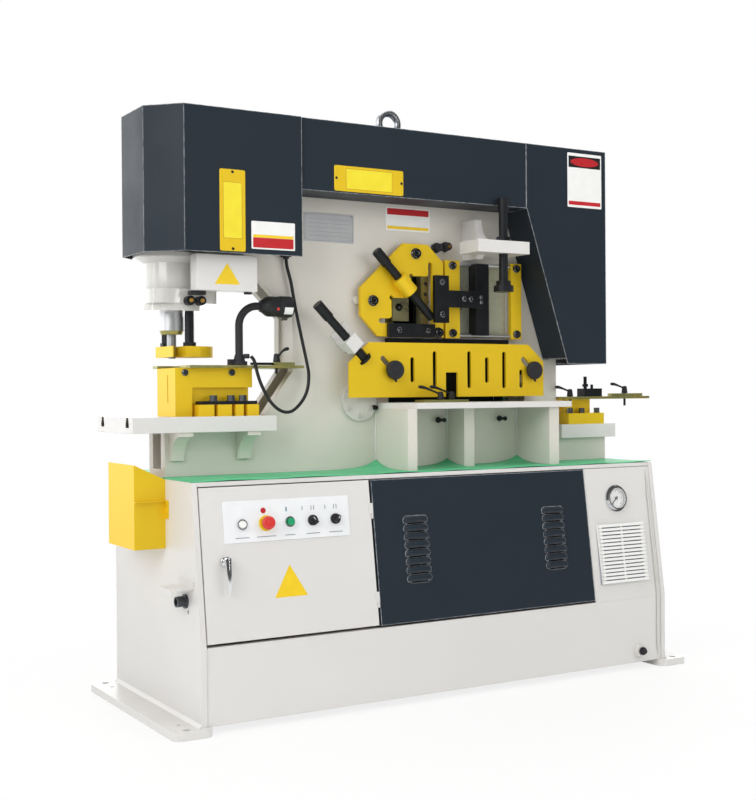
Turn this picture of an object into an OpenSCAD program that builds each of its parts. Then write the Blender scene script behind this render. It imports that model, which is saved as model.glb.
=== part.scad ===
// Hydraulic ironworker: punch, section shear, bar shear, flat shear and notcher.
// Millimetres, +Z up, origin on the floor under the centre of the base, front faces -Y.

/* [Base] */
// Length of the base over its end plates
base_len = 1680; // [1500:10:1900]
// Depth of the base at the floor
base_dep = 676; // [620:4:760]
// Height of the deck above the floor
deck_z = 681; // [600:1:760]
// Height of the fold where the front starts to lean back
fold_z = 240; // [200:1:300]
// How far the front leans back from the fold to the deck
slope_run = 61; // [40:1:90]
// Thickness of the end plates
end_t = 16; // [12:1:20]
// Thickness of the foot plates
foot_t = 22; // [16:1:30]
// How far a foot plate stands out beyond its end plate
foot_out = 85; // [75:1:110]
// Thickness of the deck plate
deck_t = 12; // [8:1:16]
// Distance from the end plate out to the anchor holes
anchor_out = 40; // [34:1:46]
// Distance between front and back anchor holes
anchor_pitch = 660; // [600:2:676]
// Diameter of the anchor holes
anchor_d = 22; // [18:1:26]

/* [Door and controls] */
// Width of the control door
door_w = 540; // [500:1:545]
// Gap around the door and the access panel
seam = 3; // [2:0.5:5]
// Spacing of the controls
ctrl_pitch = 74; // [66:1:76]
// Travel of the emergency stop
estop_travel = 5; // [3:0.5:6]
// Diameter of the pressure gauge bezel
gauge_d = 88; // [80:1:100]
// Number of louvres in one column
louvre_n = 8; // [5:1:9]

/* [Frame] */
// Distance of the frame's middle plane behind the base centre
frame_y = 20; // [0:1:40]
// Thickness of one frame plate
plate_t = 30; // [24:1:36]
// Gap between the two frame plates
plate_gap = 64; // [62:1:80]
// Height of the frame above the deck
frame_h = 1019; // [1000:1:1030]

/* [Covers] */
// Room from the top of the frame to the top of the covers
cover_room = 42; // [34:1:60]
// Depth of the covers in front of the frame's middle
cover_front = 192; // [184:1:200]
// Depth of the covers behind the frame's middle
cover_back = 145; // [138:1:160]
// Sheet thickness of the covers
cover_t = 3; // [2:0.5:4]

/* [Punch] */
// Distance of the punch axis left of the base centre
punch_x = 775; // [765:1:785]
// Stroke of the punch
punch_stroke = 60; // [40:1:64]
// Diameter of the ram
ram_d = 72; // [64:1:74]
// Diameter of the punch
punch_d = 28; // [18:1:30]
// Radial clearance of the ram in its cylinder
ram_clear = 0.3; // [0.2:0.05:0.5]
// Length of the punch table
ptable_len = 447; // [430:1:450]
// Depth of the punch table
ptable_dep = 300; // [280:2:320]
// Thickness of the punch table
ptable_t = 45; // [40:1:48]

/* [Shear] */
// Diameter of the rocker's pivot pin
pivot_d = 90; // [70:1:100]
// Radial clearance of moving fits
run_clear = 0.3; // [0.2:0.05:0.5]
// Thickness of the rocker beam
rocker_t = 50; // [44:1:52]
// Diameter of the hold-down screws
screw_d = 27; // [22:1:28]
// Thickness of the sliding shear guard
guard_t = 8; // [6:1:12]
// Gap from the bar guard up to the arm of its hold-down screw
arm_clear = 21; // [15:1:40]
// Thickness of that arm
arm_t = 40; // [30:1:50]
// Width of the slots in the sliding guard
slot_w = 15; // [10:1:18]
// Depth of the shear table
stable_dep = 194; // [180:1:200]
// Thickness of the shear table
stable_t = 19; // [14:1:22]

/* [Notcher] */
// Length of the notching table
ntable_len = 242; // [220:1:250]
// Thickness of the notching table
ntable_t = 47; // [40:1:52]
// Length of the notching gauge plate
ngauge_len = 400; // [380:1:430]

/* [Hidden] */
$fn = 40;
hl = base_len / 2;
hd = base_dep / 2;
in_x = hl - end_t;
slope_a = atan(slope_run / (deck_z - fold_z));
slope_len = norm([slope_run, deck_z - fold_z]);
bay_z = deck_z - deck_t;
bay_s = (bay_z - fold_z) / cos(slope_a);
sheet = 3;
panel_in = 3;
door_x1 = -in_x + seam;
door_x2 = door_x1 + door_w;
part_x = door_x2 + 6;
panel_x1 = part_x + 3;
hinge_x = door_x2 + 3.5;
hinge_y = -3;
hinge_r = 1.8;
hinge_s = [70, 330];
flange_y = 18;
gp_x = 541;
panel_x2 = gp_x - 4;
ctrl_s = 323;
ctrl_x = door_x1 + 122;
lens_r = 11;
estop_r = 19;
start_r = 10.5;
sel_r = 12;
stem_r = 6;
gauge_x = 667;
gauge_s = 330;
yf = frame_y - plate_gap / 2 - plate_t;
yfi = frame_y - plate_gap / 2;
ybi = frame_y + plate_gap / 2;
yb = frame_y + plate_gap / 2 + plate_t;
px = -punch_x;
seat = 133;
ptop = seat + ptable_t;
die_top = 319;
gp_t = 8;
gp_top = die_top + gp_t;
arm_z = 654;
piv = [-175, 216];
ram_r = ram_d / 2;
scr_r = screw_d / 2;
cyf = frame_y - cover_front;
cyb = frame_y + cover_back;
sec_t = 30;
sec_y = yf - sec_t;
sec_c = [-30, 585];
sec_ax = sec_y - scr_r - 4.5;
grd_y = yf - 52;
grd_m = grd_y - guard_t / 2;
flat_c = [-183, 348];
barscr = [283, yf - 152];
bar_r = 14.5;
arm_x = [165, 368];
arm_h = [668 + arm_clear, 668 + arm_clear + arm_t];
cover_h = frame_h + cover_room;
st_top = 211;
knob_a = [-83, 314];
knob_b = [467, 314];
n_top = 81 + ntable_t;
nd_top = n_top + 87;
ng_top = nd_top + 9;
shear_x = 530;
rod_r = 30;
shear_z = 699;
lamp = [-602, -78];
cord_r = 5;
cord_pts = [
  [-433, -56, 651.2], [-430, -56.5, 626], [-418, -58, 580], [-407, -60, 515], [-396, -62, 459], [-382, -64, 393],
  [-371, -68, 337], [-369, -76, 300], [-378, -85, 257], [-400, -92, 220], [-438, -99, 190], [-476, -104, 190],
  [-513, -107, 217], [-541, -108, 262], [-556, -108, 300], [-566, -107.5, 338], [-575.5, -103, 354]
];

// Shared shapes

// a box given by its two corners
module box(a, b) {
  translate(a) cube(b - a);
}

// a flat shape drawn in X and Z, from y0 back to y1
module plate_xz(y0, y1) {
  translate([0, y1, 0]) rotate([90, 0, 0]) linear_extrude(y1 - y0) children();
}

// a flat shape drawn in Y and Z, from x0 to x1
module plate_yz(x0, x1) {
  translate([x0, 0, 0]) rotate([90, 0, 90]) linear_extrude(x1 - x0) children();
}

// everything that stands on the deck
module on_deck() {
  translate([0, 0, deck_z]) children();
}

// the leaning front: x along it, z up the slope, -y outward
module on_slope(x = 0, s = 0) {
  translate([x, -hd, fold_z]) rotate([-slope_a, 0, 0]) translate([0, 0, s]) children();
}

// a round bar along Y from y0 to y1
module pin_y(x, z, r, y0, y1) {
  translate([x, y1, z]) rotate([90, 0, 0]) cylinder(r = r, h = y1 - y0);
}

// a round bar along X from x0 to x1
module pin_x(y, z, r, x0, x1) {
  translate([x0, y, z]) rotate([0, 90, 0]) cylinder(r = r, h = x1 - x0);
}

// a rounded rectangle about the origin
module rr2(w, h, r) {
  square([w - 2 * r, h], center = true);
  square([w, h - 2 * r], center = true);
  for (sx = [-1, 1], sy = [-1, 1])
    translate([sx * (w / 2 - r), sy * (h / 2 - r)]) circle(r);
}

// a slot with round ends from a to b
module slot2(a, b, w) {
  d = b - a;
  translate(a) rotate(atan2(d[1], d[0])) {
    translate([0, -w / 2]) square([norm(d), w]);
    circle(w / 2);
    translate([norm(d), 0]) circle(w / 2);
  }
}

// a bolt head facing the front: washer, head and socket
module front_bolt(x, z, r, y) {
  difference() {
    union() {
      pin_y(x, z, r, y - r * 0.9, y);
      pin_y(x, z, r * 1.25, y - 3, y);
    }
    translate([x, y - r * 0.9 + r * 0.5, z]) rotate([90, 30, 0])
      cylinder(r = r * 0.5, h = r, $fn = 6);
  }
}

// a hex bolt head standing on z
module hex_top(x, y, z, r, h) {
  translate([x, y, z]) cylinder(r = r * 1.15, h = 2);
  translate([x, y, z + 2]) rotate(20) cylinder(r = r, h = h - 2, $fn = 6);
}

// along the 45 degree screw direction, from a point in X and Z
module on_screw(c, y) {
  translate([c[0], y, c[1]]) rotate([0, 135, 0]) children();
}

// Base

module foot_2d(side) {
  w = foot_out + end_t * 2;
  translate([side * (hl + foot_out - w / 2), 0]) difference() {
    rr2(w, base_dep + 40, 28);
    for (sy = [-1, 1]) {
      translate([side * (anchor_out - foot_out + w / 2), sy * anchor_pitch / 2]) circle(d = anchor_d);
      translate([side * (anchor_out - foot_out + w / 2), sy * (anchor_pitch / 2 - 62)]) circle(6);
    }
  }
}

module end_2d() {
  polygon([[-hd, foot_t], [-hd, fold_z], [slope_run - hd, deck_z], [hd, deck_z], [hd, foot_t]]);
}

module base_ends() {
  color("#d9d8d2") {
    for (side = [-1, 1]) {
      x0 = side > 0 ? in_x : -hl;
      linear_extrude(foot_t) foot_2d(side);
      difference() {
        plate_yz(x0, x0 + end_t) end_2d();
        if (side < 0) pin_x(-249, 324, 7, -hl - 1, -in_x + 1);
      }
      // the weld along the foot
      plate_yz_weld(side);
    }
    // rain shelf over the pedal socket, with its lip turned down
    shelf_w = 66;
    box([-hl - shelf_w, -292, 390], [-hl, -190, 394]);
    box([-hl - shelf_w, -292, 374], [-hl - shelf_w + 4, -190, 394]);
    box([-hl - 4, -292, 394], [-hl, -190, 412]);
    // pedal socket
    pin_x(-233, 352, 20, -hl - 6, -hl);
    difference() {
      pin_x(-233, 352, 15, -hl - 30, -hl);
      pin_x(-233, 352, 11, -hl - 31, -hl - 12);
    }
  }
}

module plate_yz_weld(side) {
  bead = 9;
  x = side * hl;
  translate([x, hd, foot_t]) rotate([90, 0, 0]) linear_extrude(base_dep)
    polygon([[0, 0], [side * bead, 0], [0, bead]]);
}

module front_panel() {
  color("#d9d8d2") {
    y0 = -hd + panel_in;
    drain = [728, 61];
    box([-in_x, y0, foot_t], [in_x, y0 + 4, fold_z - 4]);
    box([-in_x, y0, fold_z - 8], [gp_x, y0 + 26, fold_z - 4]);
    difference() {
      on_slope() box([gp_x, panel_in, -4], [in_x, panel_in + 4, bay_s - 1]);
      on_slope(gauge_x, gauge_s) rotate([90, 0, 0]) cylinder(r = gauge_d / 2 - 8, h = 60, center = true);
      on_slope() box([588, -10, 66], [756, 20, 232]);
    }
    // drain boss and its plug
    pin_y(drain[0], drain[1], 22, y0 - 14, y0);
    pin_y(drain[0], drain[1], 13, y0 - 22, y0 - 14);
    translate([drain[0], y0 - 22, drain[1]]) rotate([90, 0, 0]) cylinder(r = 9, h = 8, $fn = 6);
  }
}

module bay_2d() {
  polygon([
    [-hd + 30, foot_t + 6], [-hd + 30, fold_z], [slope_run - hd + 22, bay_z],
    [hd - 4, bay_z], [hd - 4, foot_t + 6]
  ]);
}

module base_shell() {
  color("#cfcec8") {
    box([-in_x, slope_run - hd, bay_z], [in_x, hd, deck_z]);
    box([-in_x, hd - 4, foot_t], [in_x, hd, bay_z]);
    box([-in_x, -hd + 8, foot_t], [in_x, hd - 4, foot_t + 6]);
    plate_yz(part_x - 4, part_x) bay_2d();
    plate_yz(gp_x - 4, gp_x) bay_2d();
    // flanges behind the edges of the access panel
    on_slope() box([part_x - 4, flange_y, 6], [part_x + 22, flange_y + 4, bay_s]);
    on_slope() box([part_x - 4, flange_y, 6], [part_x, flange_y + 14, bay_s]);
    on_slope() box([gp_x - 26, flange_y, 6], [gp_x, flange_y + 4, bay_s]);
    on_slope() box([gp_x - 4, flange_y, 6], [gp_x, flange_y + 14, bay_s]);
    // hinge lugs and pins of the door
    for (h = hinge_s) on_slope(hinge_x, h) translate([0, hinge_y, 0]) {
      box([-1.5, 0, -14], [1.5, flange_y - hinge_y + 2, -1]);
      translate([0, 0, -14]) cylinder(r = 3.2, h = 13);
      translate([0, 0, -14]) cylinder(r = hinge_r, h = 44);
    }
  }
}

module power_pack() {
  color("#8a9096") {
    z0 = foot_t + 6;
    tank_h = 196;
    x1 = part_x + 20;
    x2 = gp_x - 24;
    mx = x1 + 300;
    mz = z0 + tank_h + 118;
    box([x1, -250, z0], [x2, 250, z0 + tank_h]);
    box([x1 + 20, -230, z0 + tank_h], [x2 - 20, 230, z0 + tank_h + 8]);
    // motor on its foot, with the fan cowl
    box([mx - 110, -90, z0 + tank_h + 8], [mx + 110, 90, z0 + tank_h + 30]);
    pin_x(0, mz, 96, mx - 150, mx + 150);
    pin_x(0, mz, 104, mx - 215, mx - 150);
    box([mx - 60, -150, mz - 20], [mx + 60, -80, mz + 60]);
    // pump, its bracket and the valve block
    pin_x(0, mz, 60, mx + 150, mx + 200);
    pin_x(0, mz, 42, mx + 200, mx + 270);
    box([x2 - 150, -160, z0 + tank_h + 8], [x2 - 40, -70, z0 + tank_h + 130]);
    pin_x(-115, z0 + tank_h + 80, 22, x2 - 230, x2 - 150);
  }
}

module electrics_plate() {
  color("#b8bcc0") {
    x1 = -in_x + 40;
    x2 = part_x - 40;
    y0 = 60;
    box([x1, y0, 150], [x2, y0 + 4, 620]);
    // the feet that carry the plate on the floor of the bay
    box([x1, y0, foot_t + 6], [x1 + 30, y0 + 40, 150]);
    box([x2 - 30, y0, foot_t + 6], [x2, y0 + 40, 150]);
    // rails with breakers, contactors and the transformer
    for (i = [0:3]) box([x1 + 40 + i * 62, y0 - 80, 470], [x1 + 90 + i * 62, y0, 560]);
    for (i = [0:2]) box([x1 + 40 + i * 80, y0 - 95, 330], [x1 + 100 + i * 80, y0, 420]);
    box([x1 + 310, y0 - 110, 190], [x1 + 420, y0, 300]);
    box([x1 + 40, y0 - 60, 190], [x1 + 270, y0, 230]);
  }
}

// one pressed louvre: a half capsule standing out of the sheet, open below
module louvre(x, s, w, r) {
  on_slope(x, s) translate([0, 3, 0]) intersection() {
    union() {
      translate([-w / 2 + r, 0, 0]) rotate([0, 90, 0]) cylinder(r = r, h = w - 2 * r);
      translate([-w / 2 + r, 0, 0]) sphere(r);
      translate([w / 2 - r, 0, 0]) sphere(r);
    }
    box([-w / 2, -r, -r * 0.55], [w / 2, -3.2, r]);
  }
}

module louver_panel() {
  color("#2f363d") {
    pitch = 25;
    lr = 13;
    lw = 88;
    s_top = 304;
    on_slope() difference() {
      box([panel_x1, -1, seam], [panel_x2, 18, bay_s - seam]);
      box([panel_x1 + sheet, 2, seam + sheet], [panel_x2 - sheet, 19, bay_s - seam - sheet]);
      for (x = [-128, 394], i = [0:louvre_n - 1])
        box([x - lw / 2 + lr, -4, s_top - i * pitch - lr * 0.9],
            [x + lw / 2 - lr, 4, s_top - i * pitch - lr * 0.5]);
    }
    for (x = [-128, 394], i = [0:louvre_n - 1]) louvre(x, s_top - i * pitch, lw, lr);
  }
}

module gauge_case() {
  color("#c9ccd0") on_slope(gauge_x, gauge_s) rotate([90, 0, 0]) {
    r = gauge_d / 2;
    difference() {
      union() {
        translate([0, 0, -panel_in]) cylinder(r = r, h = 5);
        translate([0, 0, -panel_in]) cylinder(r = r - 6, h = 14);
        translate([0, 0, -45]) cylinder(r = r - 9, h = 45);
      }
      translate([0, 0, -1]) cylinder(r = r - 10, h = 20);
      for (i = [0:2]) rotate(90 + i * 120) translate([r - 3, 0, -10]) cylinder(r = 1.6, h = 20);
    }
    // the spindle that carries the needle
    translate([0, 0, -2]) cylinder(r = 1.5, h = 7);
  }
}

module gauge_needle() {
  color("#1a1a1a") on_slope(gauge_x, gauge_s) rotate([90, 0, 0]) {
    len = gauge_d / 2 - 16;
    difference() {
      union() {
        translate([0, 0, 1.5]) cylinder(r = 5, h = 2);
        translate([0, 0, 1.5]) rotate(225) linear_extrude(1.2) polygon([[-8, -2], [len, -0.6], [len, 0.6], [-8, 2]]);
      }
      cylinder(r = 1.5 + run_clear, h = 10);
    }
  }
}

module vent_grille() {
  color("#eeeeea") on_slope(672, 149) {
    w = 200;
    h = 195;
    n = 15;
    lip = 16;
    pitch = (h - 12) / n;
    difference() {
      box([-w / 2, -3, -h / 2], [w / 2, panel_in, h / 2]);
      box([-w / 2 + lip, -20, -h / 2 + 8], [w / 2 - lip, 20, h / 2 - 8]);
    }
    for (i = [0:n]) translate([0, 0, -h / 2 + 6 + i * pitch])
      box([-w / 2 + 3, -9, -4.3], [w / 2 - 3, -2, 4.3]);
    // filter sheet behind the slats
    box([-w / 2 + lip - 2, 0, -h / 2 + 6], [w / 2 - lip + 2, 2, h / 2 - 6]);
    box([-3, -7, -h / 2 + 4], [3, 1, h / 2 - 4]);
    box([-w / 2 + lip - 6, -6, -h / 2 + 4], [-w / 2 + lip, 0, h / 2 - 4]);
    box([w / 2 - lip, -6, -h / 2 + 4], [w / 2 - lip + 6, 0, h / 2 - 4]);
  }
}

module slug_bin() {
  color("#efc50b") {
    x1 = -hl - 94;
    x2 = -hl;
    y1 = -85;
    y2 = 131;
    z1 = deck_z - 198;
    zo = deck_z + 43;
    zi = deck_z - 1;
    t = 2.5;
    difference() {
      plate_xz(y1, y2) polygon([[x1, z1], [x2, z1], [x2, zi], [x1, zo]]);
      plate_xz(y1 + t, y2 - t) polygon([[x1 + t, z1 + t], [x2 - t, z1 + t], [x2 - t, zo + 9], [x1 + t, zo + 9]]);
    }
    // angle along the front wall and the tab that holds it to the end plate
    box([x1, y1 - 12, deck_z - 63], [x2, y1, deck_z - 60]);
    difference() {
      box([x2 - 3, y1 - 27, deck_z - 112], [x2, y1 + 1, deck_z - 60]);
      pin_x(y1 - 18, deck_z - 76, 3.5, x2 - 5, x2 + 1);
      pin_x(y1 - 18, deck_z - 98, 3.5, x2 - 5, x2 + 1);
    }
  }
}

module deck_mat() {
  color("#37b26b") {
    t = 3;
    g = 2;
    difference() {
      translate([0, 0, deck_z]) linear_extrude(t) polygon([
        [-hl + 2, slope_run - hd + 2], [hl - 2, slope_run - hd + 2], [hl - 2, yf - g], [-hl + 2, yf - g]
      ]);
      for (l = legs()) box([l[0] - g, yf - l[2] - g, deck_z - 1], [l[0] + l[1] + g, yf, deck_z + 9]);
    }
    box([-hl + 2, yb + g, deck_z], [hl - 2, hd - 4, deck_z + t]);
  }
}

// Frame

// left side, width and depth of each leg of the shear table
function legs() = [[-111, 34, stable_dep - 3], [162, 40, stable_dep - 96], [446, 40, stable_dep - 15]];

module frame_2d() {
  difference() {
    polygon([
      [-824, 0], [618, 0], [618, shear_z], [440, shear_z], [440, frame_h], [-820, frame_h], [-850, frame_h - 30],
      [-850, arm_z], [-583, arm_z], [-407, 477], [-408, 311], [-503, ptop + 3], [-503, seat], [-824, seat]
    ]);
    translate(piv) circle(d = pivot_d);
    // section, bar and flat openings
    translate([-75, 421]) square([167, 199]);
    translate([196, 424]) square([206, 244]);
    translate([-64, 196]) square([544, 78]);
  }
}

module frame_plates() {
  color("#dddcd6") on_deck() {
    difference() {
      plate_xz(yf, yfi) frame_2d();
      for (k = [knob_a, knob_b]) pin_y(k[0], k[1], 8, yf - 1, yf + 14);
    }
    plate_xz(ybi, yb) frame_2d();
  }
}

module frame_ribs() {
  color("#dddcd6") on_deck() {
    // blocks welded between the two plates
    box([-400, yfi, 320], [-350, ybi, 470]);
    box([-500, yfi, frame_h - 60], [300, ybi, frame_h - 9]);
    box([-560, yfi, 4], [560, ybi, 60]);
    box([-700, yfi, 700], [-600, ybi, 760]);
    box([-824, yfi, 0], [-790, ybi, 24]);
    // column under the notching table
    box([618, yf, 0], [838, yb, 81]);
    // legs of the shear table
    for (l = legs()) box([l[0], yf - l[2], 0], [l[0] + l[1], yf, st_top - stable_t]);
    // curved gussets under the punch table
    for (x = [-811, -597]) plate_yz(x, x + 42) difference() {
      translate([yf - 84, seat - 84]) square([84, 84]);
      translate([yf - 84, seat - 84]) circle(72);
      translate([yf - 85, seat - 85]) square([40, 50]);
    }
    // brackets that carry the covers
    for (x = [-700, 560]) {
      w = x < 0 ? 8 : 0;
      z = x < 0 ? frame_h - 60 : 600;
      box([x, cyf - w + cover_t, z], [x + 40, yf, z + 20]);
      box([x, yb, z], [x + 40, cyb + w - cover_t, z + 20]);
    }
    // gland that lets the lamp cable out
    box([-446, yf - 26, 658], [-420, yf, 688]);
    translate([-433, yf - 14, 652]) cylinder(r = 9, h = 6);
    // grease fittings with brass tips
    for (p = [[118, 714], [153, 719]]) {
      translate([p[0], yf, p[1]]) rotate([90, 30, 0]) cylinder(r = 17, h = 16, $fn = 6);
      pin_y(p[0], p[1], 13, yf - 30, yf - 16);
      pin_y(p[0], p[1], 5, yf - 36, yf - 30);
    }
  }
}

module hydraulic_cylinders() {
  color("#c6c7c4") on_deck() {
    // punch cylinder with its upper flange and cast lower flange
    difference() {
      union() {
        translate([px, frame_y, 549]) cylinder(r = 80, h = arm_z - 549);
        translate([px, frame_y, 640]) cylinder(r = 112, h = arm_z - 640);
        translate([px, frame_y, 626]) cylinder(r1 = 80, r2 = 104, h = 14);
        translate([px + 18, frame_y, 507]) linear_extrude(42) rr2(210, 180, 46);
        translate([px, frame_y, 486]) cylinder(r = 88, h = 21);
        // two oil unions with brass tips
        for (x = [px + 15, px + 49]) {
          pin_y(x, 514, 14, frame_y - 114, frame_y - 90);
          pin_y(x, 514, 6, frame_y - 120, frame_y - 114);
        }
      }
      translate([px, frame_y, 480]) cylinder(r = ram_r + ram_clear, h = 160);
    }
    // shear cylinder on the shoulder of the frame
    difference() {
      union() {
        box([442, yf, shear_z], [616, yb, shear_z + 30]);
        translate([shear_x, frame_y, shear_z + 30]) cylinder(r = 75, h = 280);
      }
      translate([shear_x, frame_y, shear_z - 1]) cylinder(r = rod_r + ram_clear, h = 290);
    }
  }
}

module punch_table() {
  color("#d6d5cf") on_deck() {
    x2 = -505;
    x1 = x2 - ptable_len;
    difference() {
      box([x1, frame_y - ptable_dep / 2, seat], [x2, frame_y + ptable_dep / 2, ptop]);
      for (sy = [-1, 1]) translate([0, frame_y + sy * 105, 0]) {
        box([x1 - 1, -7, ptop - 17], [x2 + 1, 7, ptop + 1]);
        box([x1 - 1, -13, ptop - 29], [x2 + 1, 13, ptop - 16]);
      }
      translate([px, frame_y, seat - 1]) cylinder(r = punch_d / 2 + 10, h = 99);
    }
  }
}

module stripper() {
  color("#efc50b") on_deck() {
    z0 = 352;
    z1 = 384;
    posts = [[px + 6, frame_y + 57], [px + 40, frame_y - 40]];
    difference() {
      translate([0, 0, z0]) linear_extrude(z1 - z0) {
        translate([px - 22, frame_y - 62]) square([88, 136]);
        translate([px + 66, frame_y + 10]) circle(64);
      }
      translate([px, frame_y, z0 - 1]) cylinder(r = punch_d / 2 + 5, h = 99);
      box([px - punch_d / 2 - 5, frame_y - 90, z0 - 1], [px + punch_d / 2 + 5, frame_y, z1 + 1]);
    }
    // hex posts and lock nuts
    for (p = posts) {
      translate([p[0], p[1], z1]) cylinder(r = 15, h = 486 - z1, $fn = 6);
      translate([p[0], p[1], z1]) rotate(30) cylinder(r = 19, h = 12, $fn = 6);
    }
  }
}

module die_block() {
  color("#efc50b") on_deck() {
    x1 = px - 28;
    y1 = frame_y - 95;
    y2 = frame_y + 47;
    xs = px + 24;
    x2 = px + 216;
    difference() {
      union() {
        box([x1, y1, ptop], [xs, y2, die_top]);
        box([xs, y1, 262], [x2, y2, die_top]);
        box([xs, y1 + 16, ptop], [x2 - 6, y2, 262]);
      }
      translate([px, frame_y, ptop - 1]) cylinder(r = punch_d / 2 + 0.5, h = 200);
      box([x1 - 1, y1 + 55, ptop + 40], [x1 + 8, y1 + 61, die_top - 20]);
    }
    for (x = [px + 2, px + 150]) front_bolt(x, 306, 8, y1);
  }
}

module die_clamps() {
  on_deck() {
    y2 = frame_y - 79;
    y1 = y2 - 46;
    x1 = px + 33;
    x2 = px + 224;
    bolts = [px + 86, px + 142, px + 180];
    color("#efc50b") difference() {
      box([x1, y1, ptop], [x2, y2, 212]);
      for (x = bolts) box([x - 6, y1 - 1, ptop - 1], [x + 6, y2 + 1, 213]);
    }
    color("#22262a") {
      box([x1 + 8, y1 + 4, 212], [x2 - 4, y2 - 2, 222]);
      for (x = bolts) hex_top(x, y1 + 20, 222, 12, 17);
      for (x = bolts) translate([x, y1 + 20, ptop]) cylinder(r = 5, h = 40);
    }
  }
}

module gauge_plates() {
  on_deck() color("#a9a488") {
    difference() {
      translate([0, 0, die_top]) linear_extrude(gp_t) polygon([
        [px + 7, frame_y - 122], [px + 377, frame_y - 122], [px + 377, yf - 2], [px + 363, yf - 2],
        [px + 363, frame_y + 75], [px - 31, frame_y + 75], [px - 31, frame_y + 38], [px + 7, frame_y + 38]
      ]);
      translate([px, frame_y, 0]) cylinder(r = 38, h = 400);
      translate([0, 0, die_top - 1]) linear_extrude(20) slot2([-500, -68], [-412, -68], 10);
    }
    // notching gauge plate with its stop block and adjusting screws
    x0 = 620;
    difference() {
      box([x0, -75, nd_top], [x0 + ngauge_len, -22, ng_top]);
      translate([0, 0, nd_top - 1]) linear_extrude(20) slot2([860, -60], [960, -60], 10);
      translate([665, -60, nd_top - 1]) cylinder(r = 4.5, h = 20);
    }
    box([722, -72, ng_top], [800, -30, ng_top + 28]);
    translate([742, -50, ng_top + 28]) cylinder(r = 6, h = 42);
    translate([742, -50, ng_top + 34]) cylinder(r = 11, h = 10, $fn = 6);
    translate([772, -50, ng_top + 28]) cylinder(r = 5, h = 14);
  }
}

module limit_switch_box() {
  color("#d2d2cc") on_deck() {
    y1 = frame_y - 160;
    y2 = frame_y - 114;
    difference() {
      box([-761, y1, 541], [-570, y2, 646]);
      box([-757, y1 - 1, 545], [-574, y1 + 2, 642]);
    }
    box([-755, y1, 547], [-576, y1 + 3, 640]);
    box([-660, y2 - 20, 646], [-600, yf + 20, arm_z]);
    for (x = [-743, -589], z = [556, 632]) pin_y(x, z, 4, y1 - 2, y1 + 1);
  }
}

// Covers

module head_2d(t) {
  c = 88 - t * 0.414;
  x1 = -901 + t;
  polygon([
    [-441, cyf - 8 + t], [x1 + c, cyf - 8 + t], [x1, cyf - 8 + t + c], [x1, cyb + 8 - t - c],
    [x1 + c, cyb + 8 - t], [-441, cyb + 8 - t]
  ]);
}

module head_cover() {
  color("#2f363d") on_deck() {
    z0 = 647;
    difference() {
      translate([0, 0, z0]) linear_extrude(cover_h - z0) head_2d(0);
      translate([0, 0, z0 - 1]) linear_extrude(cover_h - cover_t - z0 + 1) {
        head_2d(cover_t);
        translate([-445, cyf - 8 + cover_t]) square([9, cyb - cyf + 16 - 2 * cover_t]);
      }
    }
  }
}

// outline of the off-cut guard on the back
module rear_2d() {
  polygon([[-108, 150], [500, 150], [500, 505], [438, 690], [-108, 690]]);
}

module beam_cover() {
  color("#2f363d") on_deck() {
    x1 = -438;
    x2 = 394;
    z0 = 847;
    dep = 80;
    difference() {
      box([x1, cyf, z0], [x2, cyb, cover_h]);
      box([x1 - 1, cyf + cover_t, z0 + cover_t], [x2 + 1, cyb - cover_t, cover_h - cover_t]);
      box([x1 - 1, yf - 1, z0 - 1], [x2 + 1, yb + 1, z0 + 9]);
      translate([-20, frame_y, cover_h - 9]) cylinder(r = 22, h = 20);
    }
    // off-cut guard over the openings at the back, open below
    difference() {
      plate_xz(yb, yb + dep) rear_2d();
      plate_xz(yb - 1, yb + dep - cover_t) {
        offset(delta = -cover_t) rear_2d();
        translate([-108 + cover_t, 140]) square([608 - 2 * cover_t, 20]);
      }
    }
  }
}

module right_2d(t) {
  k = (565 - 397) / (847 - 336);
  e = t * sqrt(1 + k * k);
  polygon([
    [395, cover_h - t], [734 - t, cover_h - t], [734 - t, 336], [565 + e, 336], [397 + e, 847], [395, 847]
  ]);
}

module right_cover() {
  color("#2f363d") on_deck() difference() {
    plate_xz(cyf, cyb) right_2d(0);
    plate_xz(cyf + cover_t, cyb - cover_t) {
      right_2d(cover_t);
      translate([560, 320]) square([734 - cover_t - 560, 40]);
      translate([390, 847]) square([40, cover_h - cover_t - 847]);
    }
    // the frame passes through the slanted wall
    box([390, yf - 1, 320], [600, yb + 1, 860]);
  }
}

module lifting_eye() {
  color("#30343a") on_deck() translate([-20, frame_y, 0]) {
    translate([0, 0, frame_h - 9]) cylinder(r = 18, h = cover_h + 1 - frame_h + 9);
    translate([0, 0, cover_h + 0.5]) cylinder(r = 32, h = 12);
    translate([0, 0, cover_h + 56]) rotate([90, 0, 0]) rotate_extrude() translate([35, 0]) circle(12.5);
  }
}

// Section shear

module section_2d() {
  difference() {
    polygon([[-22, 720], [70, 720], [130, 664], [130, 421], [-120, 421], [-182, 486], [-182, 573]]);
    polygon([
      [-76, 420], [-76, 463], [-76, 479], [-68, 484], [-68, 545], [-20, 545], [7, 572], [7, 617],
      [66, 617], [72, 623], [72, 655], [88, 655], [88, 420]
    ]);
    translate([80, 655]) circle(8);
    slot2([-107, 471], [-76, 471], 16);
    translate([-68, 545]) circle(7);
    translate([7, 617]) circle(7);
  }
}

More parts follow.
